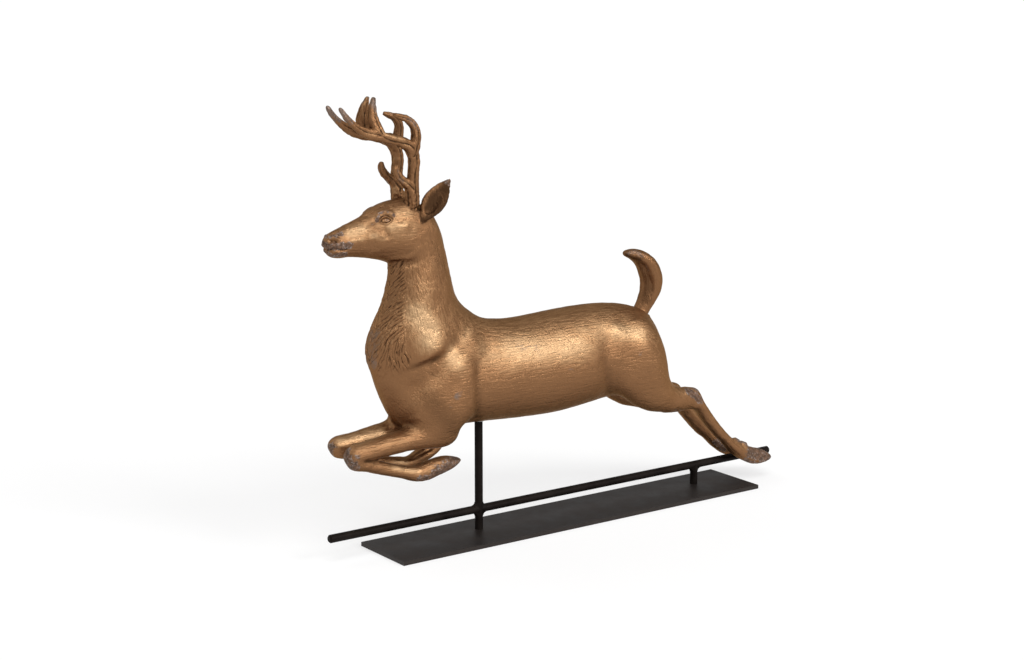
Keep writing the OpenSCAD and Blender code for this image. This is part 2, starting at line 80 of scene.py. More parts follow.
class Skin:
    """Points and faces of a mesh, in millimetres on the stag, with the moves that shape it."""

    def __init__(self, mesh):
        self.points = (read(mesh.vertices, "co", 3) - MOUTH.astype(np.float32)) / np.float32(MM)
        self.corners = read(mesh.loops, "vertex_index", kind=np.int32)
        self.starts = read(mesh.polygons, "loop_start", kind=np.int32)
        self.counts = read(mesh.polygons, "loop_total", kind=np.int32)
        pairs = read(mesh.edges, "vertices", 2, np.int32)
        ends = np.concatenate([pairs[:, 0], pairs[:, 1]])
        others = np.concatenate([pairs[:, 1], pairs[:, 0]])
        self.neighbours = others[np.argsort(ends, kind="stable")]
        self.degree = np.bincount(ends, minlength=len(self.points)).astype(np.float32)
        self.first = np.concatenate([[0], np.cumsum(self.degree)[:-1]]).astype(np.int64)

    def spread(self, values):
        """The mean of each point's neighbours, for one number a point or several."""
        total = np.add.reduceat(values[self.neighbours], self.first, axis=0)
        return total / (self.degree if values.ndim == 1 else self.degree[:, None])

    def blurred(self, values, rounds, step=SMOOTHING_STEP):
        """Values after some rounds of moving each towards the mean of its neighbours."""
        result = values.astype(np.float32)
        for _ in range(rounds):
            result = result + step * (self.spread(result) - result)
        return result

    def smoothed(self, values, widths):
        """Values averaged over a width given for each point."""
        widest = widths.max()
        rounds = int(round(widest * widest / (VOXEL * VOXEL * SMOOTHING_STEP / 2)))
        share = (widths / widest) ** 2
        step = SMOOTHING_STEP * (share if values.ndim == 1 else share[:, None])
        return self.blurred(values, rounds, step.astype(np.float32))

    def normals(self):
        """Unit normals, one a point."""
        following = np.arange(1, len(self.corners) + 1)
        following[self.starts + self.counts - 1] = self.starts
        here = self.points[self.corners]
        area = np.add.reduceat(np.cross(here, here[following]), self.starts, axis=0)
        area = np.repeat(area, self.counts, axis=0)
        total = [np.bincount(self.corners, area[:, axis], len(self.points)) for axis in range(3)]
        total = np.stack(total, axis=1)
        return (total / np.maximum(np.linalg.norm(total, axis=1), 1e-9)[:, None]).astype(np.float32)

    def islands(self):
        """A number for each point, the same for all points of one closed surface."""
        label = np.arange(len(self.points))
        while True:
            lower = np.minimum(label, np.minimum.reduceat(label[self.neighbours], self.first))
            lower = lower[lower]
            if np.array_equal(lower, label):
                return label
            label = lower


def joined_triangles(names):
    """The triangles of several CAD nodes as one list, with the index of the node that each came from."""
    points, faces, owners = [], [], []
    start = 0
    for index, name in enumerate(names):
        mesh = cad[name].data
        mesh.calc_loop_triangles()
        points.append(read(mesh.vertices, "co", 3))
        faces.append(read(mesh.loop_triangles, "vertices", 3, np.int32) + start)
        owners.append(np.full(len(faces[-1]), index))
        start += len(points[-1])
    return np.concatenate(points), np.concatenate(faces), np.concatenate(owners)


def new_mesh(name, points, corners, starts):
    """A mesh from corner points in metres and faces given as runs of corners."""
    mesh = bpy.data.meshes.new(name)
    mesh.vertices.add(len(points))
    mesh.vertices.foreach_set("co", points.astype(np.float32).ravel())
    mesh.loops.add(len(corners))
    mesh.loops.foreach_set("vertex_index", corners.astype(np.int32))
    mesh.polygons.add(len(starts))
    mesh.polygons.foreach_set("loop_start", starts.astype(np.int32))
    mesh.update(calc_edges=True)
    mesh.polygons.foreach_set("use_smooth", np.ones(len(starts), bool))
    return mesh


def add_object(name, data):
    """A new object in the scene."""
    added = bpy.data.objects.new(name, data)
    scene.collection.objects.link(added)
    return added


def remeshed(points, faces, voxel):
    """One closed skin of small quads round the triangles."""
    mesh = new_mesh("joined", points, faces.ravel(), np.arange(len(faces)) * 3)
    joined = add_object("joined", mesh)
    modifier = joined.modifiers.new("voxels", "REMESH")
    modifier.mode = "VOXEL"
    modifier.voxel_size = voxel * MM
    depsgraph = bpy.context.evaluated_depsgraph_get()
    result = bpy.data.meshes.new_from_object(joined.evaluated_get(depsgraph))
    bpy.data.objects.remove(joined)
    bpy.data.meshes.remove(mesh)
    return result


def cut_out(whole, kept, name):
    """A mesh of the kept faces of a skin, and the points of the skin that it uses."""
    starts = np.concatenate([[0], np.cumsum(whole.counts[kept])[:-1]])
    used, corners = np.unique(whole.corners[np.repeat(kept, whole.counts)], return_inverse=True)
    return new_mesh(name, whole.points[used] * MM + MOUTH, corners, starts), used


def outer_skin(names):
    """The skin round the nodes without the walls of their cavities, and the node that each face came from."""
    points, faces, owners = joined_triangles(names)
    whole = Skin(remeshed(points, faces, VOXEL))
    island = whole.islands()
    outer = island == island[np.argmax(whole.points[:, 0])]
    mesh, _ = cut_out(whole, outer[whole.corners[whole.starts]], "skin")
    tree = BVHTree.FromPolygons(points.tolist(), faces.tolist())
    centres = read(mesh.polygons, "center", 3)
    owner = np.array([owners[tree.find_nearest(centre)[2]] for centre in centres], np.int32)
    attribute = mesh.attributes.new("owner", "INT", "FACE")
    attribute.data.foreach_set("value", owner)
    return mesh


def refine(mesh, fine):
    """Cuts the faces round the marked points into four."""
    cut = bmesh.new()
    cut.from_mesh(mesh)
    edges = [edge for edge in cut.edges if fine[edge.verts[0].index] and fine[edge.verts[1].index]]
    bmesh.ops.subdivide_edges(cut, edges=edges, cuts=1, use_grid_fill=True)
    cut.to_mesh(mesh)
    cut.free()


def owners_of(mesh, whole):
    """The index of the node under each face and each point."""
    of_faces = read(mesh.attributes["owner"].data, "value", kind=np.int32)
    of_points = np.zeros(len(whole.points), np.int32)
    of_points[whole.corners] = np.repeat(of_faces, whole.counts)
    return of_faces, of_points


def belongs(*names):
    """Which points of the skin lie on the named nodes."""
    return np.isin(owner, [NODES.index(name) for name in names])


skin_mesh = outer_skin(NODES)
skin = Skin(skin_mesh)
face_owner, owner = owners_of(skin_mesh, skin)

# The width changes gently from one casting to the next
width = np.array([SMOOTH_WIDTH[name] for name in NODES], np.float32)[owner]
width = skin.blurred(width, WIDTH_ROUNDS)
skin.points = skin.smoothed(skin.points, width)
skin_mesh.vertices.foreach_set("co", (skin.points * MM + MOUTH).astype(np.float32).ravel())

# Where the face, the front of the neck and the hooves begin, which get smaller faces
FACE_BEHIND = -94
NECK_FRONT, NECK_FOOT = -78, 44
FORE_HOOF_AHEAD, FORE_HOOF_TOP = -84, -14
HIND_HOOF_AHEAD = 308
x, _, z = skin.points.T
fine = belongs(*ANTLERS, *EARS, "tail")
fine |= belongs("head") & (x < FACE_BEHIND)
fine |= belongs("neck") & (x < NECK_FRONT) & (z > NECK_FOOT)
fine |= belongs(*FORELEGS) & (x > FORE_HOOF_AHEAD) & (z < FORE_HOOF_TOP)
fine |= belongs(*HIND_LEGS) & (x > HIND_HOOF_AHEAD)
refine(skin_mesh, fine)
skin = Skin(skin_mesh)
face_owner, owner = owners_of(skin_mesh, skin)
skin.points = skin.blurred(skin.points, REFINED_ROUNDS)
normals = skin.normals()

# Sculpting
LINE_REACH, MARK_REACH = 3, 2
SEED_SHIFT = 37.0


def mirrored():
    """The skin's points folded onto the left side, with y counted outwards."""
    x, y, z = skin.points.T
    return np.stack([x, np.abs(y), z], axis=1)


def mirrored_normals():
    """The skin's normals folded onto the left side."""
    turned = normals.copy()
    turned[:, 1] *= np.where(skin.points[:, 1] < 0, -1, 1)
    return turned


def nearest_on_path(points, path):
    """How far each point is from a path of straight runs, and its place along the path, from 0 to 1."""
    path = np.asarray(path, np.float32)
    lengths = np.linalg.norm(np.diff(path, axis=0), axis=1)
    whole = lengths.sum()
    best = np.full(len(points), np.inf, np.float32)
    share = np.zeros(len(points), np.float32)
    done = 0.0
    for start, end, length in zip(path[:-1], path[1:], lengths):
        way = (end - start) / length
        along = np.clip((points - start) @ way, 0, length)
        gap = np.linalg.norm(points - start - along[:, None] * way, axis=1)
        closer = gap < best
        best[closer] = gap[closer]
        share[closer] = (done + along[closer]) / whole
        done += length
    return best, share


def rounded(path, steps=4):
    """The path drawn as a smooth curve through its points."""
    path = np.asarray(path, float)
    padded = np.concatenate([[2 * path[0] - path[1]], path, [2 * path[-1] - path[-2]]])
    drawn = []
    for a, b, c, d in zip(padded[:-3], padded[1:-2], padded[2:-1], padded[3:]):
        for t in np.arange(steps) / steps:
            drawn.append(0.5 * (2 * b + (c - a) * t + (2 * a - 5 * b + 4 * c - d) * t ** 2
                                + (3 * b - a - 3 * c + d) * t ** 3))
    return np.array(drawn + [path[-1]])


def laid_on(path, folded, reach=14):
    """The path with each point moved to the nearest point of the skin."""
    laid = []
    for point in np.asarray(path, np.float32):
        gaps = np.linalg.norm(folded - point, axis=1)
        nearest = int(np.argmin(gaps))
        laid.append(folded[nearest] if gaps[nearest] < reach else point)
    return np.array(laid)


def rising(value, start, end):
    """A smooth step from 0 at the start to 1 at the end."""
    share = np.clip((value - start) / (end - start), 0, 1)
    return share * share * (3 - 2 * share)


def bell(distance, width):
    """A smooth bump that is 1 at no distance and about a third at the width."""
    return np.exp(-(distance / width) ** 2)


def ridge(value, height, middle, width):
    """A bump of some height where the value is at its middle, or a groove where the height is negative."""
    return height * bell(value - middle, width)


def close_to(points, path, reach):
    """Indices of the points in the path's box, grown by a reach on all sides."""
    low, high = path.min(axis=0) - reach, path.max(axis=0) + reach
    return np.flatnonzero(((points > low) & (points < high)).all(axis=1))


def line_relief(folded, rows):
    """Heights of ridges, or of grooves where negative. A row is height, width, taper and a path.

    The taper is the share of the path over which it fades in and out, or 0 for round ends."""
    amount = np.zeros(len(folded), np.float32)
    for height, width, taper, path in rows:
        path = rounded(laid_on(path, folded))
        near = close_to(folded, path, LINE_REACH * width)
        gap, share = nearest_on_path(folded[near], path)
        ends = rising(np.minimum(share, 1 - share), 0, taper) if taper else 1.0
        amount[near] += height * bell(gap, width) * ends
    return amount


def noise_at(points, size, seed):
    """Smooth noise from about -1 to 1, with lumps of about that size."""
    scaled = points / size + seed * SEED_SHIFT
    return np.array([noise.noise(point) for point in scaled.tolist()], np.float32)


def only_at(near, values):
    """Values for some points of the skin, with 0 for the others."""
    amount = np.zeros(len(skin.points), np.float32)
    amount[near] = values
    return amount


def raise_skin(amount):
    """Moves the skin along its normals and finds the new ones."""
    global normals
    skin.points = skin.points + normals * amount[:, None].astype(np.float32)
    normals = skin.normals()


# Muscles of the body: height, width, taper and path
MUSCLES = [
    (-0.9, 6, 0.3, [(-104, 22, 70), (-93, 27.5, 70), (-82, 30, 73), (-66, 32, 83), (-48, 31, 91),
        (-36, 27, 95)]),
    (1.2, 13, 0, [(-85, 22, 140), (-80, 27, 120)]),
    (1.1, 10, 0, [(-55, 36, 67), (-48, 35, 75)]),
    (-2.2, 7, 0, [(-26, 38, 66), (-27, 41, 47), (-23, 36, 23), (-19, 22, 8)]),
    (-2, 11, 0, [(134, 33, 68), (131, 37, 58), (130, 38, 44), (136, 32, 24), (144, 22, 11)]),
    (-0.6, 5, 0.4, [(133, 35, 62), (130, 38, 46), (136, 32, 24), (144, 22, 11)]),
    (1.5, 13, 0, [(150, 36, 66), (148, 38, 42), (156, 34, 20)]),
    (1.8, 11, 0, [(146, 31, 76), (152, 33, 73)]),
    (-1.3, 10, 0, [(-92, 28, 50), (-86, 30, 34), (-82, 28, 14)]),
    (1, 11, 0, [(-106, 20, 46), (-99, 24, 30)]),
    (-0.9, 9, 0, [(-52, 40, 56), (-64, 40, 38), (-70, 36, 20)]),
    (1, 12, 0, [(176, 40, 58), (192, 38, 30), (214, 30, 4)]),
    (2.6, 24, 0, [(-56, 0, 138), (-44, 0, 115), (-26, 0, 102), (20, 0, 98), (70, 0, 100), (130, 0, 104),
        (180, 0, 100)]),
    (1.6, 14, 0, [(200, 10, 76), (212, 12, 52)]),
    (0.7, 2.6, 0.3, [(-93.4, 13.3, 15.6), (-90.4, 17.4, 17), (-90.5, 27.9, 20.2), (-85.4, 32.1, 16.4)]),
]
# The muscle that ends the neck stands out over the shoulder: a place on its lower edge and that edge's slope,
# then for the muscle and the shelf below it the height, the place along the edge and the width
COLLAR_EDGE, COLLAR_SLOPE = (-72, 79), (0.93, 0.37)
COLLAR, SHELF = (6.5, 2, 22), (2.5, 14, 19)
# How far above its edge the muscle begins, is highest and ends, and how far below it the shelf ends
COLLAR_FOOT, COLLAR_CREST, COLLAR_END, SHELF_END = -4, 3, 40, -45
# Where it begins and is full, outwards from the middle
COLLAR_OUTWARDS = (4, 20)
COLLAR_ROUNDS, BODY_ROUNDS = 30, 6


def collar_relief(folded):
    """Heights of the muscle at the foot of the neck: steep below and evenly sloping above."""
    across, up = COLLAR_SLOPE
    x, z = folded[:, 0] - COLLAR_EDGE[0], folded[:, 2] - COLLAR_EDGE[1]
    along, above = x * across + z * up, z * across - x * up
    step = rising(above, COLLAR_FOOT, COLLAR_CREST)
    ramp = np.clip((COLLAR_END - above) / (COLLAR_END - COLLAR_CREST), 0, 1)
    flare = step * ramp * ridge(along, *COLLAR)
    shelf = (1 - step) * rising(above, SHELF_END, COLLAR_FOOT) * ridge(along, *SHELF)
    return skin.blurred((flare + shelf) * rising(folded[:, 1], *COLLAR_OUTWARDS), COLLAR_ROUNDS)


folded = mirrored()
on_body = skin.blurred(belongs("torso", "neck"), BODY_ROUNDS) > 0.5
raise_skin(np.where(on_body, line_relief(folded, MUSCLES) + collar_relief(folded), 0))

# Lines of the face: height, width, taper and path
FACE_LINES = [
    (1.5, 2.4, 0.2, [(-121.5, 13.7, 208.3), (-117.6, 10.8, 214.3), (-111.7, 11.9, 215.6),
        (-108.1, 14.8, 214.3), (-103.9, 18, 210.4)]),
    (-0.9, 1.7, 0.3, [(-119.5, 14.4, 207.6), (-127.9, 12.5, 204.7), (-134.5, 11.5, 202)]),
    (-0.9, 3, 0, [(-101.5, 19.4, 207.2), (-98.5, 20.2, 206.6)]),
    (-1.2, 2.8, 0.35, [(-118.5, 18.2, 203), (-114.8, 19.9, 197), (-112.2, 20.4, 190)]),
    (0.9, 4.6, 0.3, [(-110, 20.2, 203.6), (-103.7, 21.2, 202.7), (-95.4, 21.8, 202), (-87.7, 21.7, 201.3)]),
    (0.9, 4.2, 0.3, [(-150.8, 7.5, 200.6), (-144.2, 8.7, 201.5), (-136.9, 10.7, 201.6), (-130, 11.5, 201)]),
    (0.7, 3.6, 0, [(-146.6, 12, 190.6), (-141.5, 12.7, 191.2)]),
    (0.7, 4, 0, [(-136.5, 13.6, 191.6), (-131.5, 14.4, 192.2)]),
    (0.7, 4.6, 0, [(-123.5, 17, 194), (-118.5, 18.6, 193)]),
    (1.9, 5.5, 0, [(-168, 0, 190), (-168, 3, 191)]),
    (1.6, 9, 0, [(-62.9, 15.9, 202), (-61.3, 16.7, 196.4)]),
    (-1.9, 1.5, 0.25, [(-167.8, 4.2, 192.4), (-166.6, 7, 192.8), (-163.5, 9.9, 192.2),
        (-161.4, 10.9, 190.8)]),
    (0.9, 1.5, 0.3, [(-167.3, 3, 195.4), (-163.4, 8, 196), (-159.6, 10.6, 193.6),
        (-159.6, 11.2, 190.6)]),
    (-1.3, 1, 0.1, [(-168.6, 0, 183.6), (-167.7, 5.2, 184.5), (-165, 10, 185.4), (-159.6, 11.1, 184),
        (-154.4, 10.9, 182.9), (-150.6, 11.5, 184.7)]),
    (0.6, 1.4, 0.1, [(-168.6, 0, 186), (-167.4, 5.2, 187), (-164.6, 10, 187.8), (-159.4, 11.2, 186.6),
        (-154.2, 11.2, 185.6)]),
    (0.6, 1.3, 0.1, [(-167.4, 0, 181), (-166.4, 5, 181.6), (-163.6, 9, 182.6), (-158.4, 10.4, 181.2)]),
    (-0.7, 0.9, 0.2, [(-169.2, 0, 191.6), (-169, 0, 187.6)]),
    (-0.9, 3, 0.4, [(-127.2, 0, 213), (-126.8, 5, 212.2), (-125.4, 9, 210)]),
    (1, 3.4, 0.2, [(-110.5, 8.5, 172.4), (-99.3, 12.4, 171.8), (-87.9, 17, 172.8), (-81.8, 20.6, 178),
        (-79.6, 21.2, 185)]),
    (-1.7, 3.8, 0.3, [(-106.5, 6, 165.6), (-97.3, 11.4, 165), (-86.3, 16, 166),
        (-78.6, 20, 172.6)]),
]
raise_skin(line_relief(mirrored(), FACE_LINES))

# Eyes
EYE_FRONT, EYE_BACK = (-118.4, 15.0, 207.4), (-109.2, 17.8, 208.2)
EYE_HALF = 4.9
UPPER_LID, LOWER_LID = 2.9, 2.2
EYE_REACH = 11
IRIS_SHIFT = 0.2
# The ball: height, how fast it falls away, how much faster upwards, how far it is sunk, and its edge
BALL_HEIGHT, BALL_FALL, BALL_FALL_UP, BALL_SUNK, BALL_EDGE = 1.2, 0.05, 1.6, 0.4, 0.8
# Height, place and width: the iris and the pupil from its middle, the rest outwards from the lids' edge
IRIS, PUPIL = (-0.4, 2, 0.4), (-0.5, 0, 0.7)
LIDS, SEAM, CREASE = (0.9, 0.9, 0.8), (-0.4, -0.1, 0.5), (-0.5, 2.6, 0.8)


def eye_relief(folded, folded_normals):
    """Heights of an almond eye: ball, lids, the crease above them and the rings of the iris."""
    middle = laid_on([np.add(EYE_FRONT, EYE_BACK) / 2], folded)[0]
    gap = np.linalg.norm(folded - middle, axis=1)
    out = folded_normals[gap < EYE_HALF].mean(axis=0)
    out /= np.linalg.norm(out)
    back = np.subtract(EYE_BACK, EYE_FRONT)
    back = back - out * (back @ out)
    back /= np.linalg.norm(back)
    upwards = np.cross(out, back)
    upwards *= np.sign(upwards[2])
    near = np.flatnonzero(gap < EYE_REACH)
    across = (folded[near] - middle) @ back
    up = (folded[near] - middle) @ upwards
    lid = np.where(up > 0, UPPER_LID, LOWER_LID)
    past_lid = np.abs(up) - lid * (1 - (across / EYE_HALF) ** 2)
    past_lid = np.where(np.abs(across) > EYE_HALF, np.hypot(np.abs(across) - EYE_HALF, up), past_lid)
    from_iris = np.hypot(across - IRIS_SHIFT, up - IRIS_SHIFT)
    dome = BALL_HEIGHT - BALL_FALL * (across ** 2 + BALL_FALL_UP * up ** 2)
    ball = np.clip(-past_lid / BALL_EDGE, 0, 1) * dome - BALL_SUNK * (past_lid < 0)
    rings = (ridge(from_iris, *IRIS) + ridge(from_iris, *PUPIL)) * (past_lid < 0)
    lids = ridge(past_lid, *LIDS) + ridge(past_lid, *SEAM) + ridge(past_lid, *CREASE) * (up > 0)
    return only_at(near, ball + rings + lids)


raise_skin(eye_relief(mirrored(), mirrored_normals()))

# Locks of hair on the throat and chest, drawn as the camera sees the left side: p to the right, q up
RIGHT_X, RIGHT_Y = 0.812, 0.584
UP_X, UP_Y, UP_Z = 0.1186, -0.1649, 0.979
HAIR_BEHIND, HAIR_ABOVE = -76, 40
LOCK_SPACING, LOCK_LENGTH, LOCK_HEIGHT, LOCK_HALF = 1.8, 9.0, 0.85, 0.95
LOCK_SEED = 7
# How much locks differ in where a row begins, length, turn and start, and the share the next leaves clear
ROW_STAGGER, LOCK_LENGTHS, LOCK_TURN, LOCK_SHIFT, LOCK_CLEAR = 5, (0.6, 1.25), 0.22, 1.0, 0.7
# Shares of a lock over which it widens and narrows, where it ends, and shares of its least width and height
LOCK_ROOT, LOCK_TIP, LOCK_END, LOCK_LEAST, LOCK_LOW = 0.25, 0.55, 1.02, 0.02, 0.45
LOCK_REACH, LOCK_DIP, HAIR_FLOOR = 3, -0.5, -0.3
EDGE_FADE, TOP_FADE, BOTTOM_FADE, BOTTOM_PAST = 6, 8, 10, 6
# Rows of the hair: height, right edge, front of the neck, and directions at the edge and the front
HAIR_ROWS = np.array([
    (50, -66, -97, 300, 246),
    (62, -64, -101, 292, 236),
    (74, -67, -100, 262, 226),
    (86, -70, -95, 218, 222),
    (100, -68, -89, 209, 222),
    (118, -67, -83, 212, 226),
    (136, -69, -80, 222, 232),
    (150, -69, -80, 228, 236),
])
HAIR_BOTTOM, HAIR_TOP = HAIR_ROWS[0, 0], HAIR_ROWS[-1, 0]


def hair_row(q):
    """Right edge, front, and directions at the edge and the front, at a height on the view plane."""
    return [np.interp(q, HAIR_ROWS[:, 0], column) for column in HAIR_ROWS.T[1:]]


def hair_direction(p, q):
    """Unit direction in which the hair grows at a place on the view plane."""
    edge, front, at_edge, at_front = hair_row(q)
    share = np.clip((edge - p) / (edge - front), 0, 1)
    angle = math.radians(at_edge + (at_front - at_edge) * share)
    return math.cos(angle), math.sin(angle)


def hair_locks():
    """Locks as short curves on the view plane, in staggered rows from the edge of the hair to the front."""
    random = np.random.default_rng(LOCK_SEED)
    locks = []
    for height in np.arange(HAIR_TOP + LOCK_LENGTH, HAIR_BOTTOM, -LOCK_SPACING):
        p = hair_row(height)[0] + random.uniform(-ROW_STAGGER, ROW_STAGGER)
        q = height
        while p > hair_row(q)[1] - LOCK_SPACING and q > HAIR_BOTTOM - LOCK_LENGTH:
            lock = [(p, q)]
            steps = int(LOCK_LENGTH * random.uniform(*LOCK_LENGTHS))
            turn = random.uniform(-LOCK_TURN, LOCK_TURN)
            for _ in range(steps):
                across, up = hair_direction(p, q)
                p += across - turn * up
                q += up + turn * across
                lock.append((p, q))
            locks.append(np.array(lock))
            p, q = np.add(lock[int(steps * LOCK_CLEAR)], random.uniform(-LOCK_SHIFT, LOCK_SHIFT, 2))
    return locks


def hair_relief(folded, near):
    """Heights of the locks: each swells from its root and narrows to its tip, and lies over the next."""
    x, y, z = folded[near].T
    p = RIGHT_X * x + RIGHT_Y * y
    q = UP_X * x + UP_Y * y + UP_Z * z
    place = np.stack([p, q], axis=1)
    height = np.full(len(near), HAIR_FLOOR, np.float32)
    for lock in hair_locks():
        close = close_to(place, lock, LOCK_REACH)
        gap, share = nearest_on_path(place[close], lock)
        narrowing = np.minimum(share / LOCK_ROOT, (LOCK_END - share) / LOCK_TIP)
        half = LOCK_HALF * np.sqrt(np.clip(narrowing, LOCK_LEAST, 1))
        rise = LOCK_HEIGHT * (LOCK_LOW + (1 - LOCK_LOW) * share)
        height[close] = np.maximum(height[close], rise * np.clip(1 - (gap / half) ** 2, LOCK_DIP, 1))
    inside = np.clip((hair_row(q)[0] + EDGE_FADE - p) / EDGE_FADE, 0, 1)
    inside *= np.clip((HAIR_TOP + TOP_FADE - q) / TOP_FADE, 0, 1)
    inside *= np.clip((q - HAIR_BOTTOM + BOTTOM_PAST) / BOTTOM_FADE, 0, 1)
    return only_at(near, height * inside)


folded = mirrored()
hairy = belongs("neck") & (folded[:, 0] < HAIR_BEHIND) & (folded[:, 2] > HAIR_ABOVE)
raise_skin(hair_relief(folded, np.flatnonzero(hairy)))

# Antlers: paths of beam, brow tine, rear tine and top tine, from their seat on the head
ANTLER_SEAT = (-82, 0, 220)
ANTLER_PATHS = [
    [(0.5, 12, -2), (0, 14, 26), (1, 14, 42), (-3.5, 14.5, 53), (-16, 14.5, 60), (-30, 14, 63),
     (-44, 13, 66.5), (-55, 12.5, 71.8), (-64.5, 12, 79), (-75.5, 11, 93)],
    [(1, 13, 12), (-7, 13, 20), (-14.5, 12.5, 27), (-18, 11.5, 38)],
    [(-1, 14.5, 47), (3, 15, 63), (2, 13, 72), (-5, 11, 79), (-17, 9, 83)],
    [(-34, 13.5, 64), (-38, 12, 72), (-40, 9, 82), (-35.5, 5, 100)],
]
# Flutes: how many, how deep, their middle level, the beam's radius where they are as deep as that, and limits
FLUTES, FLUTE_DEPTH, FLUTE_LEVEL, FLUTE_RADIUS, FLUTE_LIMITS = 4, 0.95, 0.7, 3.2, (0.3, 1.2)
WOBBLE, WOBBLE_SIZE, WOBBLE_STRETCH = 1.2, 14, (1, 1, 0.6)
GROOVE_SCALE, GROOVE_LEVEL, GROOVE_LUMPS = 1.7, 0.55, 0.5
ANTLER_LUMP, ANTLER_LUMPS = 3.2, 0.35
BURR_TOP, BURR_FADE, BURR_SIZE, BURR_LIFT, BURR_ROUGH = 14, 8, 2.2, 0.5, 0.8
ANTLER_SWELL, ANTLER_TOP, ANTLER_FADE = 0.5, 96, 5
ANTLER_ROUNDS = 2
# Forks, which are webbed: place, height and width
FORKS = [
    ((-38, 12.5, 69), 1.9, 7),
    ((-40, 8.5, 79), 1.8, 6),
    ((-3, 8, 11), 1.2, 5),
    ((-47, 12.7, 70), 1, 6),
    ((-1, 14.5, 52), 0.8, 6),
    ((-1, 13, 15), 0.7, 5),
]


def antler_relief(folded, near):
    """Heights of the antlers' flutes and rough burrs, and how deep in a flute each point is.

    The second is from -1 on a ridge to 1 in a groove."""
    best = np.full(len(near), np.inf, np.float32)
    turn = np.zeros(len(near), np.float32)
    place = folded[near]
    for path in ANTLER_PATHS:
        path = rounded(np.add(path, ANTLER_SEAT))
        for start, end in zip(path[:-1], path[1:]):
            length = np.linalg.norm(end - start)
            way = (end - start) / length
            along = np.clip((place - start) @ way, 0, length)
            arm = place - start - along[:, None] * way
            gap = np.linalg.norm(arm, axis=1)
            side = np.cross(way, (0, 1, 0))
            side /= np.linalg.norm(side)
            angle = np.arctan2(arm @ np.cross(way, side), arm @ side)
            closer = gap < best
            best[closer] = gap[closer]
            turn[closer] = angle[closer]
    wobble = noise_at(place * WOBBLE_STRETCH, WOBBLE_SIZE, seed=3)
    rough = noise_at(place, BURR_SIZE, seed=4)
    lumps = noise_at(place, ANTLER_LUMP, seed=8)
    flutes = np.abs(np.sin(FLUTES / 2 * turn + WOBBLE * wobble))
    fluting = FLUTE_DEPTH * (flutes - FLUTE_LEVEL) * np.clip(best / FLUTE_RADIUS, *FLUTE_LIMITS)
    height = place[:, 2] - ANTLER_SEAT[2]
    burr = np.clip((BURR_TOP - height) / BURR_FADE, 0, 1) * (BURR_LIFT + BURR_ROUGH * rough)
    swell = ANTLER_SWELL * np.clip((ANTLER_TOP - height) / ANTLER_FADE, 0, 1)
    for middle, most, reach in FORKS:
        swell += most * bell(np.linalg.norm(place - np.add(middle, ANTLER_SEAT), axis=1), reach)
    groove = np.clip(GROOVE_SCALE * (GROOVE_LEVEL - flutes) - GROOVE_LUMPS * lumps, -1, 1)
    both = swell + fluting + burr + ANTLER_LUMPS * lumps, groove
    return [skin.blurred(only_at(near, values), ANTLER_ROUNDS) for values in both]


antler_heights, antler_grooves = antler_relief(mirrored(), np.flatnonzero(belongs(*ANTLERS)))
raise_skin(antler_heights)

# Bowls of the ears
EAR_FRONT = np.array((-0.6, 0.78, 0.16))
EAR_BOWL = [(-2.2, 5.0, 0, [(-70, 22, 214), (-64, 25, 223), (-59, 27, 232)])]
BOWL_FACING = 0.25
in_bowl = belongs(*EARS) & (mirrored_normals() @ EAR_FRONT > BOWL_FACING)
raise_skin(np.where(in_bowl, line_relief(mirrored(), EAR_BOWL), 0))

# Hooves, knees, hocks and the tail: height, width, taper and path
LIMB_LINES = [
    (1.2, 8, 0, [(210, 3, 125), (213, 3, 113), (211, 3, 104)]),
    (0.9, 7, 0, [(199, 3, 122), (197, 3, 110)]),
    (1, 5, 0, [(178, 2, 146), (176, 2, 146)]),
    (-1.3, 1.6, 0.15, [(-70, 18.6, -44), (-56, 17.4, -41), (-44, 18, -34), (-36, 19, -28.5)]),
    (-0.9, 1.4, 0.3, [(-72, 27, -37), (-66, 29, -31), (-60, 28, -24)]),
    (-0.8, 2, 0.3, [(-150, 27, -12), (-140, 28, -14), (-124, 27, -18)]),
    (3, 3, 0, [(322, 15, -65), (326, 15, -67)]),
    (3.2, 3, 0, [(331, 15, -70), (336, 15, -73)]),
    (2, 8, 0.2, [(258, 18, -10), (272, 16, -24), (290, 15, -46), (308, 15, -64)]),
    (-1.7, 1.8, 0.2, [(-72, 11.4, -31), (-61.2, 10.8, -26.8), (-52.6, 9.9, -24), (-46, 9.8, -23)]),
    (0.8, 2.6, 0.2, [(-66, 10.5, -33), (-54, 9.2, -29), (-42, 9.4, -28)]),
    (-1.2, 1.4, 0.2, [(345, 11, -79), (356, 10, -78), (368, 10, -84), (372, 11, -92)]),
    (-0.9, 1.4, 0.3, [(338, 18, -76), (336, 20, -84), (333, 19, -92)]),
    (-0.9, 2.4, 0.3, [(246, 24, 0), (256, 23, -8), (264, 20, -18)]),
    (-1.8, 3.4, 0.25, [(190, 7, 140), (199, 8, 131), (205, 8, 121), (207.5, 8.6, 109), (204, 8, 97)]),
    (-0.8, 1.3, 0.3, [(181, 4, 148), (190, 9, 146), (198, 11, 139)]),
]
LIMB_ROUNDS = 2
on_limbs = belongs(*FORELEGS, *HIND_LEGS, "tail")
raise_skin(skin.blurred(np.where(on_limbs, line_relief(mirrored(), LIMB_LINES), 0), LIMB_ROUNDS))

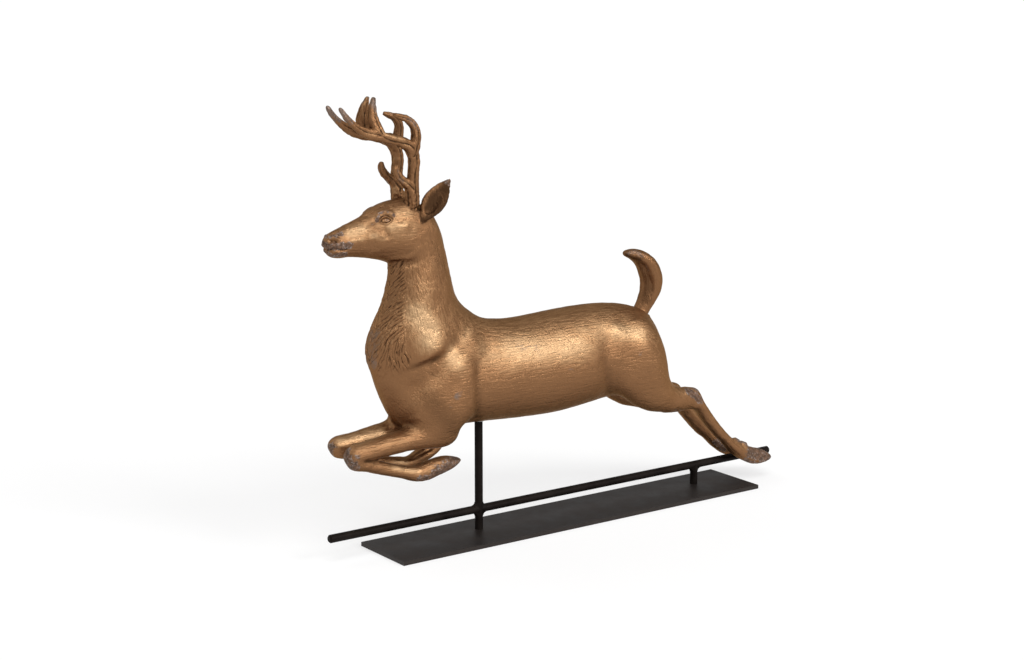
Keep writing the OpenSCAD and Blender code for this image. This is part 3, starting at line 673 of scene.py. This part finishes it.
# Worn places: how worn, how far the wear reaches, and a path along it
WORN = [
    (0.8, 4.6, [(-169, 2, 188.4), (-164, 9, 187.6), (-158, 11.3, 187.4), (-150, 11.6, 187.8)]),
    (0.65, 4, [(-168, 2, 197), (-162, 7.5, 197.5), (-156, 8, 199)]),
    (0.7, 4.5, [(-168, 2, 180.5), (-162, 8, 179), (-153, 9.5, 179)]),
    (0.72, 2.1, [(-121.5, 13.7, 208.3), (-118.2, 11.4, 213.6), (-111.7, 11.9, 215.8), (-105, 17, 212)]),
    (0.5, 2, [(-128.9, 12.2, 204.4), (-125, 13, 205.8)]),
    (0.85, 9, [(-162, 12, -2), (-163, 18, -8), (-158, 22, -16)]),
    (0.55, 5, [(-158, 27, -4), (-154, 28, -8)]),
    (0.85, 10, [(-66, 22, -38), (-50, 22, -33), (-38, 21, -28)]),
    (0.65, 6, [(-84, 24, -40), (-76, 24, -40)]),
    (0.8, 6, [(247, 23, -1), (255.6, 24.4, -6.1), (263, 24, -12.6)]),
    (0.6, 4, [(257, 20, 2), (265, 19, -6)]),
    (0.5, 5, [(226, 26, -19), (240, 25, -22)]),
    (0.85, 10, [(340, 16, -82), (354, 17, -87), (368, 16, -90)]),
    (0.8, 8, [(336, 14, -90), (352, 14, -96), (366, 14, -97)]),
    (0.65, 5, [(322, 15, -66), (336, 15, -73)]),
    (0.7, 5, [(313, 6.3, -72), (319, 6.1, -77), (325, 7, -83)]),
    (0.6, 5, [(-54, 28, 242), (-52, 29, 238)]),
]
# Places rubbed bare to grey metal
BARE = [
    (0.5, 7, [(176, 3, 148), (186, 6, 150), (195, 10, 145)]),
    (0.45, 4, [(196, 10, 139), (203, 10, 128)]),
    (0.75, 5, [(-158, 11, 312), (-152, 11.5, 304), (-146, 12, 299)]),
    (0.7, 5, [(-118, 6, 319), (-121, 8, 310), (-121, 10, 302)]),
    (0.6, 5, [(-100, 12, 252), (-96, 13, 246), (-92, 13, 240)]),
    (0.6, 5, [(-92, 10, 302), (-80, 14, 294), (-79, 15, 284)]),
    (0.6, 6, [(-112, 14, 284), (-106, 14, 281)]),
    (0.6, 4, [(-76, 20, 226), (-66, 20, 238), (-56, 24, 244)]),
    (0.5, 12, [(-126, 2, 94), (-121, 4, 108), (-121, 4, 74)]),
    (0.55, 3, [(-114, 16.4, 207.8), (-112, 17, 208)]),
    (0.5, 6, [(-54, 42, 38), (-50, 42, 42)]),
    (0.45, 5, [(-62, 41, 32), (-60, 41, 30)]),
    (0.5, 4.5, [(167, 41, 53), (168, 41, 51)]),
    (0.42, 9, [(18, 33, 77), (36, 33, 74), (46, 35, 70)]),
    (0.4, 4.5, [(80, 40, 47), (92, 40, 46)]),
    (0.42, 10, [(-150, 20, 4), (-120, 26, 10), (-98, 30, 14)]),
]
# Painted highlights: places on the gilding painted paler gold where the highlights fall
PAINTED_HIGHLIGHTS = [
    (0.85, 17, [(15, 34, 74), (47, 36, 69), (95, 37, 67)]),
    (0.5, 14, [(-15, 34, 74), (10, 34, 74)]),
    (0.5, 12, [(100, 32, 78), (135, 32, 78)]),
    (0.85, 10, [(144, 31, 76), (171, 36, 71)]),
    (1.3, 13, [(-84, 25, 118), (-77, 30, 104), (-78, 31, 94)]),
    (0.4, 9, [(-76, 22, 142), (-79, 24, 125)]),
    (0.9, 10, [(-56, 34, 80), (-50, 36.5, 68)]),
    (0.5, 7, [(-38, 30, 90), (-31, 26, 94)]),
    (0.8, 6, [(-148, 9.6, 198.8), (-136, 11.5, 201)]),
    (0.7, 4, [(-146, 11.5, 191), (-138, 14, 191.5)]),
    (0.7, 4, [(-128, 16, 195), (-118, 18.5, 191)]),
    (0.7, 6, [(-112, 20, 201), (-98, 21.5, 201)]),
    (0.45, 6, [(-100, 16, 212), (-90, 16, 213)]),
    (0.5, 9, [(-104, 22, 194), (-90, 22, 193)]),
    (0.3, 14, [(190, 34, 6), (204, 33, -4)]),
    (0.9, 5.5, [(-145, 21, 7), (-120, 27, 13), (-100, 30, 17)]),
    (1, 6, [(-150, 9, 1), (-124, 8.2, 1.3), (-108, 7.2, 2.9)]),
    (0.7, 4, [(-112, 22.5, -24), (-100, 23.2, -28.6), (-86, 24, -32)]),
    (0.8, 3, [(-90, 9.6, -31), (-77, 9.7, -32)]),
    (0.8, 3, [(-123, 15, 292), (-113, 17.5, 287), (-101, 19.3, 282), (-89, 19.4, 275)]),
    (0.7, 3.5, [(-134, 15.7, 287.5), (-126, 17, 287)]),
    (0.7, 3, [(-90, 14, 268), (-87, 15.6, 258), (-84, 10, 261)]),
    (0.7, 2.5, [(-86.6, 12.4, 250), (-88, 12.5, 244)]),
    (0.8, 2.6, [(-96.4, 15.8, 244.8), (-89.5, 16.8, 239.7)]),
    (1, 4, [(-87.3, 10.6, 233.8), (-86.5, 9, 229)]),
    (0.8, 3, [(-120.7, 3.7, 316.7), (-123, 4.5, 308), (-122, 6, 300)]),
]
WEAR_START, WEAR_LUMP, WEAR_RELIEF = 0.3, 2.6, 0.2


def strength_of(folded, rows):
    """How strong a mark is on each point, from 0 up: wear, bare places, painted highlights and painted shade.
    A row is the most, how far it reaches and a path.
    """
    strength = np.zeros(len(folded), np.float32)
    for most, reach, path in rows:
        path = np.asarray(path, np.float32)
        near = close_to(folded, path, MARK_REACH * reach)
        gap, _ = nearest_on_path(folded[near], path)
        strength[near] = np.maximum(strength[near], most * bell(gap, reach))
    return strength


folded = mirrored()
# Worn places, bare places and the painted highlights
wear, bare, painted_highlight = [strength_of(folded, rows) for rows in (WORN, BARE, PAINTED_HIGHLIGHTS)]
lumpy = np.flatnonzero(wear > WEAR_START)
lumps = noise_at(skin.points[lumpy], WEAR_LUMP, seed=5) * (wear[lumpy] - WEAR_START) / (1 - WEAR_START)
raise_skin(only_at(lumpy, lumps) * WEAR_RELIEF)

# Uneven modelling of the whole surface
SWELLS = [(9.0, 0.3), (3.8, 0.11)]
TORSO_SHARE = 0.6
SOFT_ROUNDS = 20
swell = sum(height * noise_at(skin.points, size, seed=6) for size, height in SWELLS)
on_torso = skin.blurred(belongs("torso"), SOFT_ROUNDS)
raise_skin(swell * (1 - (1 - TORSO_SHARE) * on_torso))

# How far each point lies below its surroundings, which gathers dark patina, or above them
RELIEF_ROUNDS = 24
RELIEF_SCALE = 0.45
ANTLER_CONTRAST = 0.95
level = skin.blurred(skin.points, RELIEF_ROUNDS)
relief_and_shade = ((level - skin.points) * normals).sum(axis=1) / RELIEF_SCALE
relief_and_shade = np.clip(relief_and_shade + ANTLER_CONTRAST * antler_grooves, -1, 1)

# Painted shade in broad hollows, creases and a few places the light leaves darker: how dark, how far it
# reaches, and a path along it
PAINTED_SHADE = [
    (0.8, 7, [(-70, 23, 214), (-64, 26, 223), (-59, 28, 232)]),
    (0.55, 6, [(188, 6, 138), (197, 7, 130), (203, 7, 121), (205.5, 7.6, 109), (203, 8, 97)]),
    (0.85, 3.6, [(180.3, 3.2, 145.2), (185.7, 4.6, 141.8), (192.1, 9, 140.8)]),
    (0.9, 3.6, [(-77, 11, 216.6), (-75.3, 12.5, 215), (-77.5, 18.1, 212.9), (-76.9, 20.5, 209.5)]),
    (0.3, 6, [(132, 36, 40), (138, 30, 22), (144, 22, 11)]),
    (0.3, 5, [(-104, 6, 165), (-95, 12, 165), (-84, 17, 168)]),
    (0.3, 5, [(-27, 40, 50), (-26, 40, 36), (-23, 36, 20), (-20, 24, 8)]),
    (0.3, 6, [(-93, 27.5, 70), (-82, 30, 73), (-66, 32, 83), (-48, 31, 91)]),
    (0.42, 13, [(-76, 38, 36), (-70, 40, 26), (-60, 39, 14)]),
    (0.28, 13, [(-60, 22, 168), (-58, 22, 156)]),
]
EAR_SHADE, EAR_FACING = 0.85, (-0.3, 0.1)
EAR_RIM = [
    (1, 2.4, [(-76.2, 21, 210.4), (-75, 19.4, 218.5), (-71.4, 19.2, 227.4), (-66.2, 21.3, 233.7),
        (-59.8, 25, 238.3)]),
]
folded = mirrored()
dark = strength_of(folded, PAINTED_SHADE)
# The inner faces of the ears get painted shade, all but the rim
ear_dark = rising(mirrored_normals() @ EAR_FRONT, *EAR_FACING) * (1 - strength_of(folded, EAR_RIM))
on_ears = belongs(*EARS)
dark[on_ears] = EAR_SHADE * ear_dark[on_ears]
# The relief numbers also carry the painted shade
relief_and_shade = np.maximum(relief_and_shade, dark)

# Brush strokes run up the neck, antlers, ears and tail, down the hind legs, and from nose to tail elsewhere
NECK_UP, NECK_BACK, NECK_STROKES = 0.83, 0.55, (80, 140)
LEG_STROKES, LEG_BELOW = (205, 255), (0, 30)
HEAD_ROUNDS = 12
x, _, z = skin.points.T
upward = rising(NECK_UP * z - NECK_BACK * x, *NECK_STROKES) * (1 - skin.blurred(belongs("head"), HEAD_ROUNDS))
standing = skin.blurred(belongs(*ANTLERS, *EARS, "tail"), SOFT_ROUNDS)
upward = np.maximum(upward, standing)
sloping = rising(x, *LEG_STROKES) * (1 - rising(z, *LEG_BELOW))

# Painted light: upper flanks painted lighter and gold and lower ones brown, as light falls from above, with
# the painted highlights added; less of it on what stands up
STANDING_LIGHT_CUT, TAIL_LIGHT_CUT = 0.45, 0.25
FACING_SHARE, FACING_SPAN, FACING_ROUNDS = 0.5, (-0.8, 0.5), 4
HIGHLIGHT_SHARE = 0.5
light_cut = STANDING_LIGHT_CUT * standing + TAIL_LIGHT_CUT * skin.blurred(belongs("tail"), SOFT_ROUNDS)
facing_up = rising(skin.blurred(normals[:, 2], FACING_ROUNDS), *FACING_SPAN)
painted_light = FACING_SHARE * facing_up * (1 - light_cut) + HIGHLIGHT_SHARE * painted_highlight

# Pieces of the stag, each with the numbers on its points that the material reads, painted light and shade
# among them
FINISH_AND_LIGHT = {
    "wear": wear, "bare": bare, "relief_and_shade": relief_and_shade, "upward": upward, "sloping": sloping, "painted_light": painted_light,
}


def piece_from(index):
    """The faces of the skin that belong to one casting, as an object that stands for its node."""
    name = CASTINGS[index]
    mesh, used = cut_out(skin, face_owner == index, name + "_skin")
    mesh.normals_split_custom_set_from_vertices(normals[used].tolist())
    for field, values in FINISH_AND_LIGHT.items():
        attribute = mesh.attributes.new(field, "FLOAT", "POINT")
        attribute.data.foreach_set("value", values[used].astype(np.float32))
    piece = add_object(name + "_skin", mesh)
    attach(piece, "stag")
    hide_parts(name)
    return piece


pieces = [piece_from(index) for index in range(len(CASTINGS))]

# Pieces of the stand
WELD_VOXEL, WELD_ROUNDS = 0.5, 14
WELDED = {
    "front_welds": ["front_welds", "bar", "upright", "front_foot"],
    "rear_welds": ["rear_welds", "bar", "rear_foot"],
}
PLATE_EASE, PLATE_STEPS = 0.6, 3
# Radians below which a corner counts as flat, and above which an edge is eased
FLAT_ANGLE, EDGE_ANGLE = 0.02, 0.5
EDGE_GAP = 0.1


def stand_piece(mesh, name):
    """An object on the stand that stands for a node."""
    piece = add_object(name + "_skin", mesh)
    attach(piece, "stand")
    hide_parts(name)
    return piece


def box_of(name):
    """Low and high corner of a node's box."""
    return [(np.array(corner) - MOUTH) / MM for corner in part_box(name)]


def weld_piece(name):
    """The rods and welds at a joint as one smooth closed form, which shows only where it leaves the rods."""
    points, faces, _ = joined_triangles(WELDED[name])
    whole = Skin(remeshed(points, faces, WELD_VOXEL))
    whole.points = whole.blurred(whole.points, WELD_ROUNDS)
    low, high = box_of(name)
    bar_low, bar_high = box_of("bar")
    low[1], high[1] = bar_low[1], bar_high[1]
    high[2] = max(high[2], bar_high[2])
    inside = ((whole.points > low) & (whole.points < high)).all(axis=1)
    kept = np.logical_and.reduceat(inside[whole.corners], whole.starts)
    mesh, _ = cut_out(whole, kept, name + "_skin")
    closed = bmesh.new()
    closed.from_mesh(mesh)
    bmesh.ops.holes_fill(closed, edges=[edge for edge in closed.edges if edge.is_boundary])
    closed.to_mesh(mesh)
    closed.free()
    return stand_piece(mesh, name)


def plate_piece(name):
    """The flat bar with its outer edges eased."""
    cut = bmesh.new()
    cut.from_mesh(cad[name].data)
    low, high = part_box(name)
    bmesh.ops.dissolve_limit(cut, angle_limit=FLAT_ANGLE, verts=cut.verts, edges=cut.edges)
    outer = [
        vert for vert in cut.verts
        if any(abs(vert.co[axis] - end[axis]) < EDGE_GAP * MM for end in (low, high) for axis in range(2))
    ]
    edges = [
        edge for edge in cut.edges
        if edge.verts[0] in outer and edge.verts[1] in outer and edge.calc_face_angle(0) > EDGE_ANGLE
    ]
    bmesh.ops.bevel(
        cut, geom=edges, offset=PLATE_EASE * MM, segments=PLATE_STEPS, profile=0.5, affect="EDGES"
    )
    mesh = bpy.data.meshes.new(name + "_skin")
    cut.to_mesh(mesh)
    cut.free()
    return stand_piece(mesh, name)


welds = [weld_piece(name) for name in WELDED]
plate = plate_piece("base_plate")


# Materials
class Paint:
    """A material with helpers that add and join its nodes."""

    def __init__(self, name):
        self.material = bpy.data.materials.new(name)
        self.material.use_nodes = True
        self.nodes = self.material.node_tree.nodes
        self.shader = self.nodes["Principled BSDF"]

    def put(self, node, values):
        """Sets inputs of a node to numbers or colours, or links them to outputs of other nodes."""
        for socket, value in values.items():
            if isinstance(value, bpy.types.NodeSocket):
                self.material.node_tree.links.new(value, node.inputs[socket])
            else:
                node.inputs[socket].default_value = value

    def add(self, kind, values=None, **settings):
        """The outputs of a new node with these settings and inputs."""
        node = self.nodes.new("ShaderNode" + kind)
        for field, setting in settings.items():
            setattr(node, field, setting)
        self.put(node, values or {})
        return node.outputs

    def place(self):
        """Coordinates on the object."""
        return self.add("TexCoord")["Object"]

    def attribute(self, name):
        return self.add("Attribute", attribute_name=name)["Fac"]

    def stretched(self, vector, scale, turn):
        """Coordinates turned about Y by some degrees and then scaled, each way by its own number."""
        turned = self.add("Mapping", {"Vector": vector, "Rotation": (0, math.radians(turn), 0)})
        return self.add("Mapping", {"Vector": turned["Vector"], "Scale": scale})["Vector"]

    def noise(self, vector, scale, detail, roughness):
        values = {"Vector": vector, "Scale": scale, "Detail": detail, "Roughness": roughness}
        return self.add("TexNoise", values)["Fac"]

    def ramp(self, value, stops):
        """Colours along a value; a stop is a position and a linear colour."""
        node = self.nodes.new("ShaderNodeValToRGB")
        elements = node.color_ramp.elements
        while len(elements) < len(stops):
            elements.new(0.5)
        for element, (position, colour) in zip(elements, stops):
            element.position = position
            element.color = colour
        self.put(node, {"Fac": value})
        return node.outputs["Color"]

    def span(self, value, low, high, to_low=0.0, to_high=1.0):
        """The value mapped from one range to another, and held there."""
        values = {"Value": value, "From Min": low, "From Max": high, "To Min": to_low, "To Max": to_high}
        return self.add("MapRange", values)["Result"]

    def math(self, operation, first, second):
        return self.add("Math", {0: first, 1: second}, operation=operation)["Value"]

    def mix(self, share, first, second):
        """Two numbers mixed by a share."""
        return self.add("Mix", {0: share, 2: first, 3: second})[0]

    def blend(self, share, first, second):
        """Two colours mixed by a share."""
        return self.add("Mix", {0: share, 6: first, 7: second}, data_type="RGBA")[2]

    def feed(self, socket, value):
        self.put(self.shader, {socket: value})

    def bump(self, height, distance, strength):
        """Makes the surface uneven; the distance is in metres."""
        values = {"Height": height, "Distance": distance, "Strength": strength}
        self.feed("Normal", self.add("Bump", values)["Normal"])


DEEP_BROWN = (0.035, 0.0165, 0.008, 1)
UMBER = (0.2, 0.0975, 0.0445, 1)
BRONZE = (0.262, 0.131, 0.0595, 1)
PALE_BRONZE = (0.355, 0.198, 0.096, 1)
GOLD = (0.485, 0.305, 0.163, 1)
GREY = (0.18, 0.15, 0.135, 1)
CHALK = (0.4, 0.35, 0.325, 1)
WORN_DARK = (0.08, 0.047, 0.032, 1)
WORN_BROWN = (0.165, 0.092, 0.058, 1)
BRONZE_TINT = (0.6, 0.48, 0.36, 1)
# Noises: scale, detail and roughness
PATCHES, STROKES, SPECKS = (28, 4, 0.6), (560, 4, 0.6), (480, 4, 0.6)
BARE_NOISE, WORN_NOISE, WORN_SHADES = (120, 5, 0.7), (300, 4, 0.55), (260, 4, 0.6)
# How strokes are drawn out, and their turns in degrees on body, neck and hind legs
STROKE, STROKE_TURNS = (0.11, 1, 1), (0, 100, -43)
# Levels of noise at which worn places have pale edges and scrolls
WORN_EDGE, WORN_SCROLL = 0.96, 0.56
# Depth in metres and strength of the bump
BRONZE_BUMP, IRON_BUMP, STEEL_BUMP = (0.0014, 0.9), (0.0001, 0.5), (0.0001, 0.4)

bronze = Paint("gilt_bronze")
place_at = bronze.place()
wear_at, bare_at, relief_and_shade_at, upward_at, sloping_at, painted_light_at = map(bronze.attribute, FINISH_AND_LIGHT)


def stroked(settings):
    """Noise drawn out along the body, the neck and the hind legs, as a brush leaves it."""
    along, up, down = [
        bronze.noise(bronze.stretched(place_at, STROKE, turn), *settings) for turn in STROKE_TURNS
    ]
    return bronze.mix(sloping_at, bronze.mix(upward_at, along, up), down)


def apart(value, level):
    """How far a value is from a level."""
    return bronze.math("ABSOLUTE", bronze.math("SUBTRACT", value, level), 0.0)


def weighed(*terms):
    """The sum of values, each times its weight."""
    total = None
    for value, weight in terms:
        term = bronze.math("MULTIPLY", value, weight)
        total = bronze.math("ADD", total, term) if total else term
    return total


# Colour: painted light from brown below to gold above and at the painted highlights, in patches, gold on
# ridges, and dark in hollows from patina and painted shade
patches = bronze.noise(place_at, *PATCHES)
strokes = stroked(STROKES)
specks = bronze.noise(place_at, *SPECKS)
tone = weighed((painted_light_at, 0.66), (patches, 0.2), (strokes, 0.4), (specks, 0.14))
colour = bronze.ramp(tone, [(0.33, UMBER), (0.65, BRONZE), (0.8, PALE_BRONZE), (1.0, GOLD)])
for shade, relief_span in (GOLD, (-0.15, -0.65, 0, 0.9)), (DEEP_BROWN, (0.12, 0.95, 0, 0.88)):
    colour = bronze.blend(bronze.span(relief_and_shade_at, *relief_span), colour, shade)

# Bare grey places, broken up by strokes, and worn ones, brown with pale edges and scrolls
bare_noise = weighed((bronze.noise(place_at, *BARE_NOISE), 0.7), (strokes, 0.5))
bared = bronze.span(weighed((bare_at, 1.0), (bare_noise, 1.0)), 1.0, 1.2, 0.0, 0.72)
colour = bronze.blend(bared, colour, GREY)
worn_noise = bronze.noise(place_at, *WORN_NOISE)
worn_value = weighed((wear_at, 1.0), (worn_noise, 0.9))
worn = bronze.span(worn_value, 0.82, 1.0)
worn_colour = bronze.ramp(bronze.noise(place_at, *WORN_SHADES), [(0.42, WORN_DARK), (0.6, WORN_BROWN)])
pale_edges = bronze.span(apart(worn_value, WORN_EDGE), 0.06, 0.01)
pale_scrolls = bronze.span(apart(worn_noise, WORN_SCROLL), 0.026, 0.007)
pale = bronze.math("MAXIMUM", pale_edges, pale_scrolls)
pale = bronze.math("MULTIPLY", pale, bronze.span(specks, 0.44, 0.62, 0.0, 0.9))
worn_colour = bronze.blend(pale, worn_colour, CHALK)
colour = bronze.blend(worn, colour, worn_colour)
bronze.feed("Base Color", colour)
bronze.feed("Metallic", bronze.span(worn, 0.0, 1.0, 0.85, 0.45))
bronze.feed("Specular Tint", BRONZE_TINT)
gloss = weighed((bronze.span(strokes, 0.35, 0.65, 0.26, 0.52), 1.0), (worn, 0.15), (bared, 0.08))
bronze.feed("Roughness", gloss)
unevenness = bronze.math("SUBTRACT", weighed((strokes, 0.7), (specks, 0.3)), 0.5)
easing = bronze.span(painted_light_at, 0.3, 0.8, 1.0, 0.8)
bronze.bump(bronze.math("MULTIPLY", unevenness, easing), *BRONZE_BUMP)

IRON_DARK = (0.006, 0.0045, 0.004, 1)
IRON_LIGHT = (0.016, 0.0125, 0.0105, 1)
IRON_TINT = (1, 0.86, 0.8, 1)
IRON_CLOUDS, IRON_GRAIN = (45, 5, 0.6), (900, 3, 0.6)
PLATE_SHEEN, ROD_SHEEN = 0.4, 0.05


def iron_paint(name, sheen):
    """Black paint on iron, with some warm sheen."""
    paint = Paint(name)
    place = paint.place()
    clouds = paint.noise(place, *IRON_CLOUDS)
    paint.feed("Base Color", paint.ramp(clouds, [(0.35, IRON_DARK), (0.7, IRON_LIGHT)]))
    paint.feed("Roughness", paint.span(clouds, 0.3, 0.7, 0.42, 0.58))
    paint.feed("Specular IOR Level", sheen)
    paint.feed("Specular Tint", IRON_TINT)
    paint.bump(paint.noise(place, *IRON_GRAIN), *IRON_BUMP)
    return paint


plate_iron = iron_paint("black_iron_plate", PLATE_SHEEN)
rod_iron = iron_paint("black_iron_rods", ROD_SHEEN)

STEEL_DARK = (0.2, 0.19, 0.18, 1)
STEEL_LIGHT = (0.42, 0.41, 0.4, 1)
STEEL_GRAIN = (300, 4, 0.6)
steel = Paint("socket_steel")
grain = steel.noise(steel.place(), *STEEL_GRAIN)
steel.feed("Metallic", 1.0)
steel.feed("Base Color", steel.ramp(grain, [(0.3, STEEL_DARK), (0.7, STEEL_LIGHT)]))
steel.feed("Roughness", steel.span(grain, 0.3, 0.7, 0.35, 0.5))
steel.bump(grain, *STEEL_BUMP)

# Coats of paint
RODS = ["bar", "front_foot", "rear_foot", "upright"]
COATS = {
    bronze: pieces,
    plate_iron: [plate],
    rod_iron: welds + [cad[name] for name in RODS],
    steel: [cad[name] for name in FILLERS],
}
for paint, coated in COATS.items():
    for item in coated:
        item.data.materials.clear()
        item.data.materials.append(paint.material)

# Stage
FLOOR_SIZE, FLOOR_COLOUR, FLOOR_ROUGHNESS = 60.0, (0.97, 0.97, 0.97, 1), 0.9
WORLD_STRENGTH = 0.42
floor_points = FLOOR_SIZE / 2 * np.array([(-1, -1, 0), (1, -1, 0), (1, 1, 0), (-1, 1, 0)])
floor_mesh = new_mesh("floor", floor_points, np.arange(4), np.array([0]))
floor = add_object("floor", floor_mesh)
ground = Paint("floor")
ground.feed("Base Color", FLOOR_COLOUR)
ground.feed("Roughness", FLOOR_ROUGHNESS)
ground.feed("Specular IOR Level", 0.0)
# Part of the floor shows white whatever falls on it, so that the shadow stays pale
WHITE_SHARE = 0.58
rays = ground.add("LightPath")
seen = ground.math("MAXIMUM", rays["Is Camera Ray"], rays["Is Glossy Ray"])
seen = ground.math("MAXIMUM", seen, rays["Is Transmission Ray"])
shown = ground.add("MixShader", {
    "Fac": ground.math("MULTIPLY", seen, WHITE_SHARE),
    1: ground.shader.outputs["BSDF"],
    2: ground.add("Emission")["Emission"],
})
ground.put(ground.nodes["Material Output"], {"Surface": shown["Shader"]})
floor_mesh.materials.append(ground.material)

world = bpy.data.worlds.new("studio")
scene.world = world
world.use_nodes = True
background = world.node_tree.nodes["Background"].inputs
background["Color"].default_value = (1, 1, 1, 1)
background["Strength"].default_value = WORLD_STRENGTH


def add_lamp(name, energy, angle, tilt, turn):
    """A broad far lamp: its strength, how wide it looks, and its angles from overhead and from the front."""
    light = bpy.data.lights.new(name, "SUN")
    light.energy = energy
    light.angle = math.radians(angle)
    lamp = add_object(name, light)
    lamp.rotation_euler = (math.radians(tilt), 0, math.radians(turn))


# Lamps in front to the right of the camera, overhead to its left, and behind the stag
add_lamp("key", 1.6, 28, 63, 27)
add_lamp("fill", 1.45, 45, 36, -30)
add_lamp("back", 0.45, 45, 52, 205)

# Camera at the photograph's viewing angle
CAMERA_PLACE = (-1.2060, -1.5854, 0.6035)
CAMERA_AZIMUTH = -35.719
CAMERA_ELEVATION = 11.717
CAMERA_LENS = 71.93
camera_data = bpy.data.cameras.new("camera")
camera_data.lens = CAMERA_LENS
camera = add_object("camera", camera_data)
camera.location = CAMERA_PLACE
camera.rotation_euler = (math.radians(90 - CAMERA_ELEVATION), 0, math.radians(CAMERA_AZIMUTH))
scene.camera = camera
scene.view_settings.view_transform = "Standard"

bpy.context.view_layer.update()
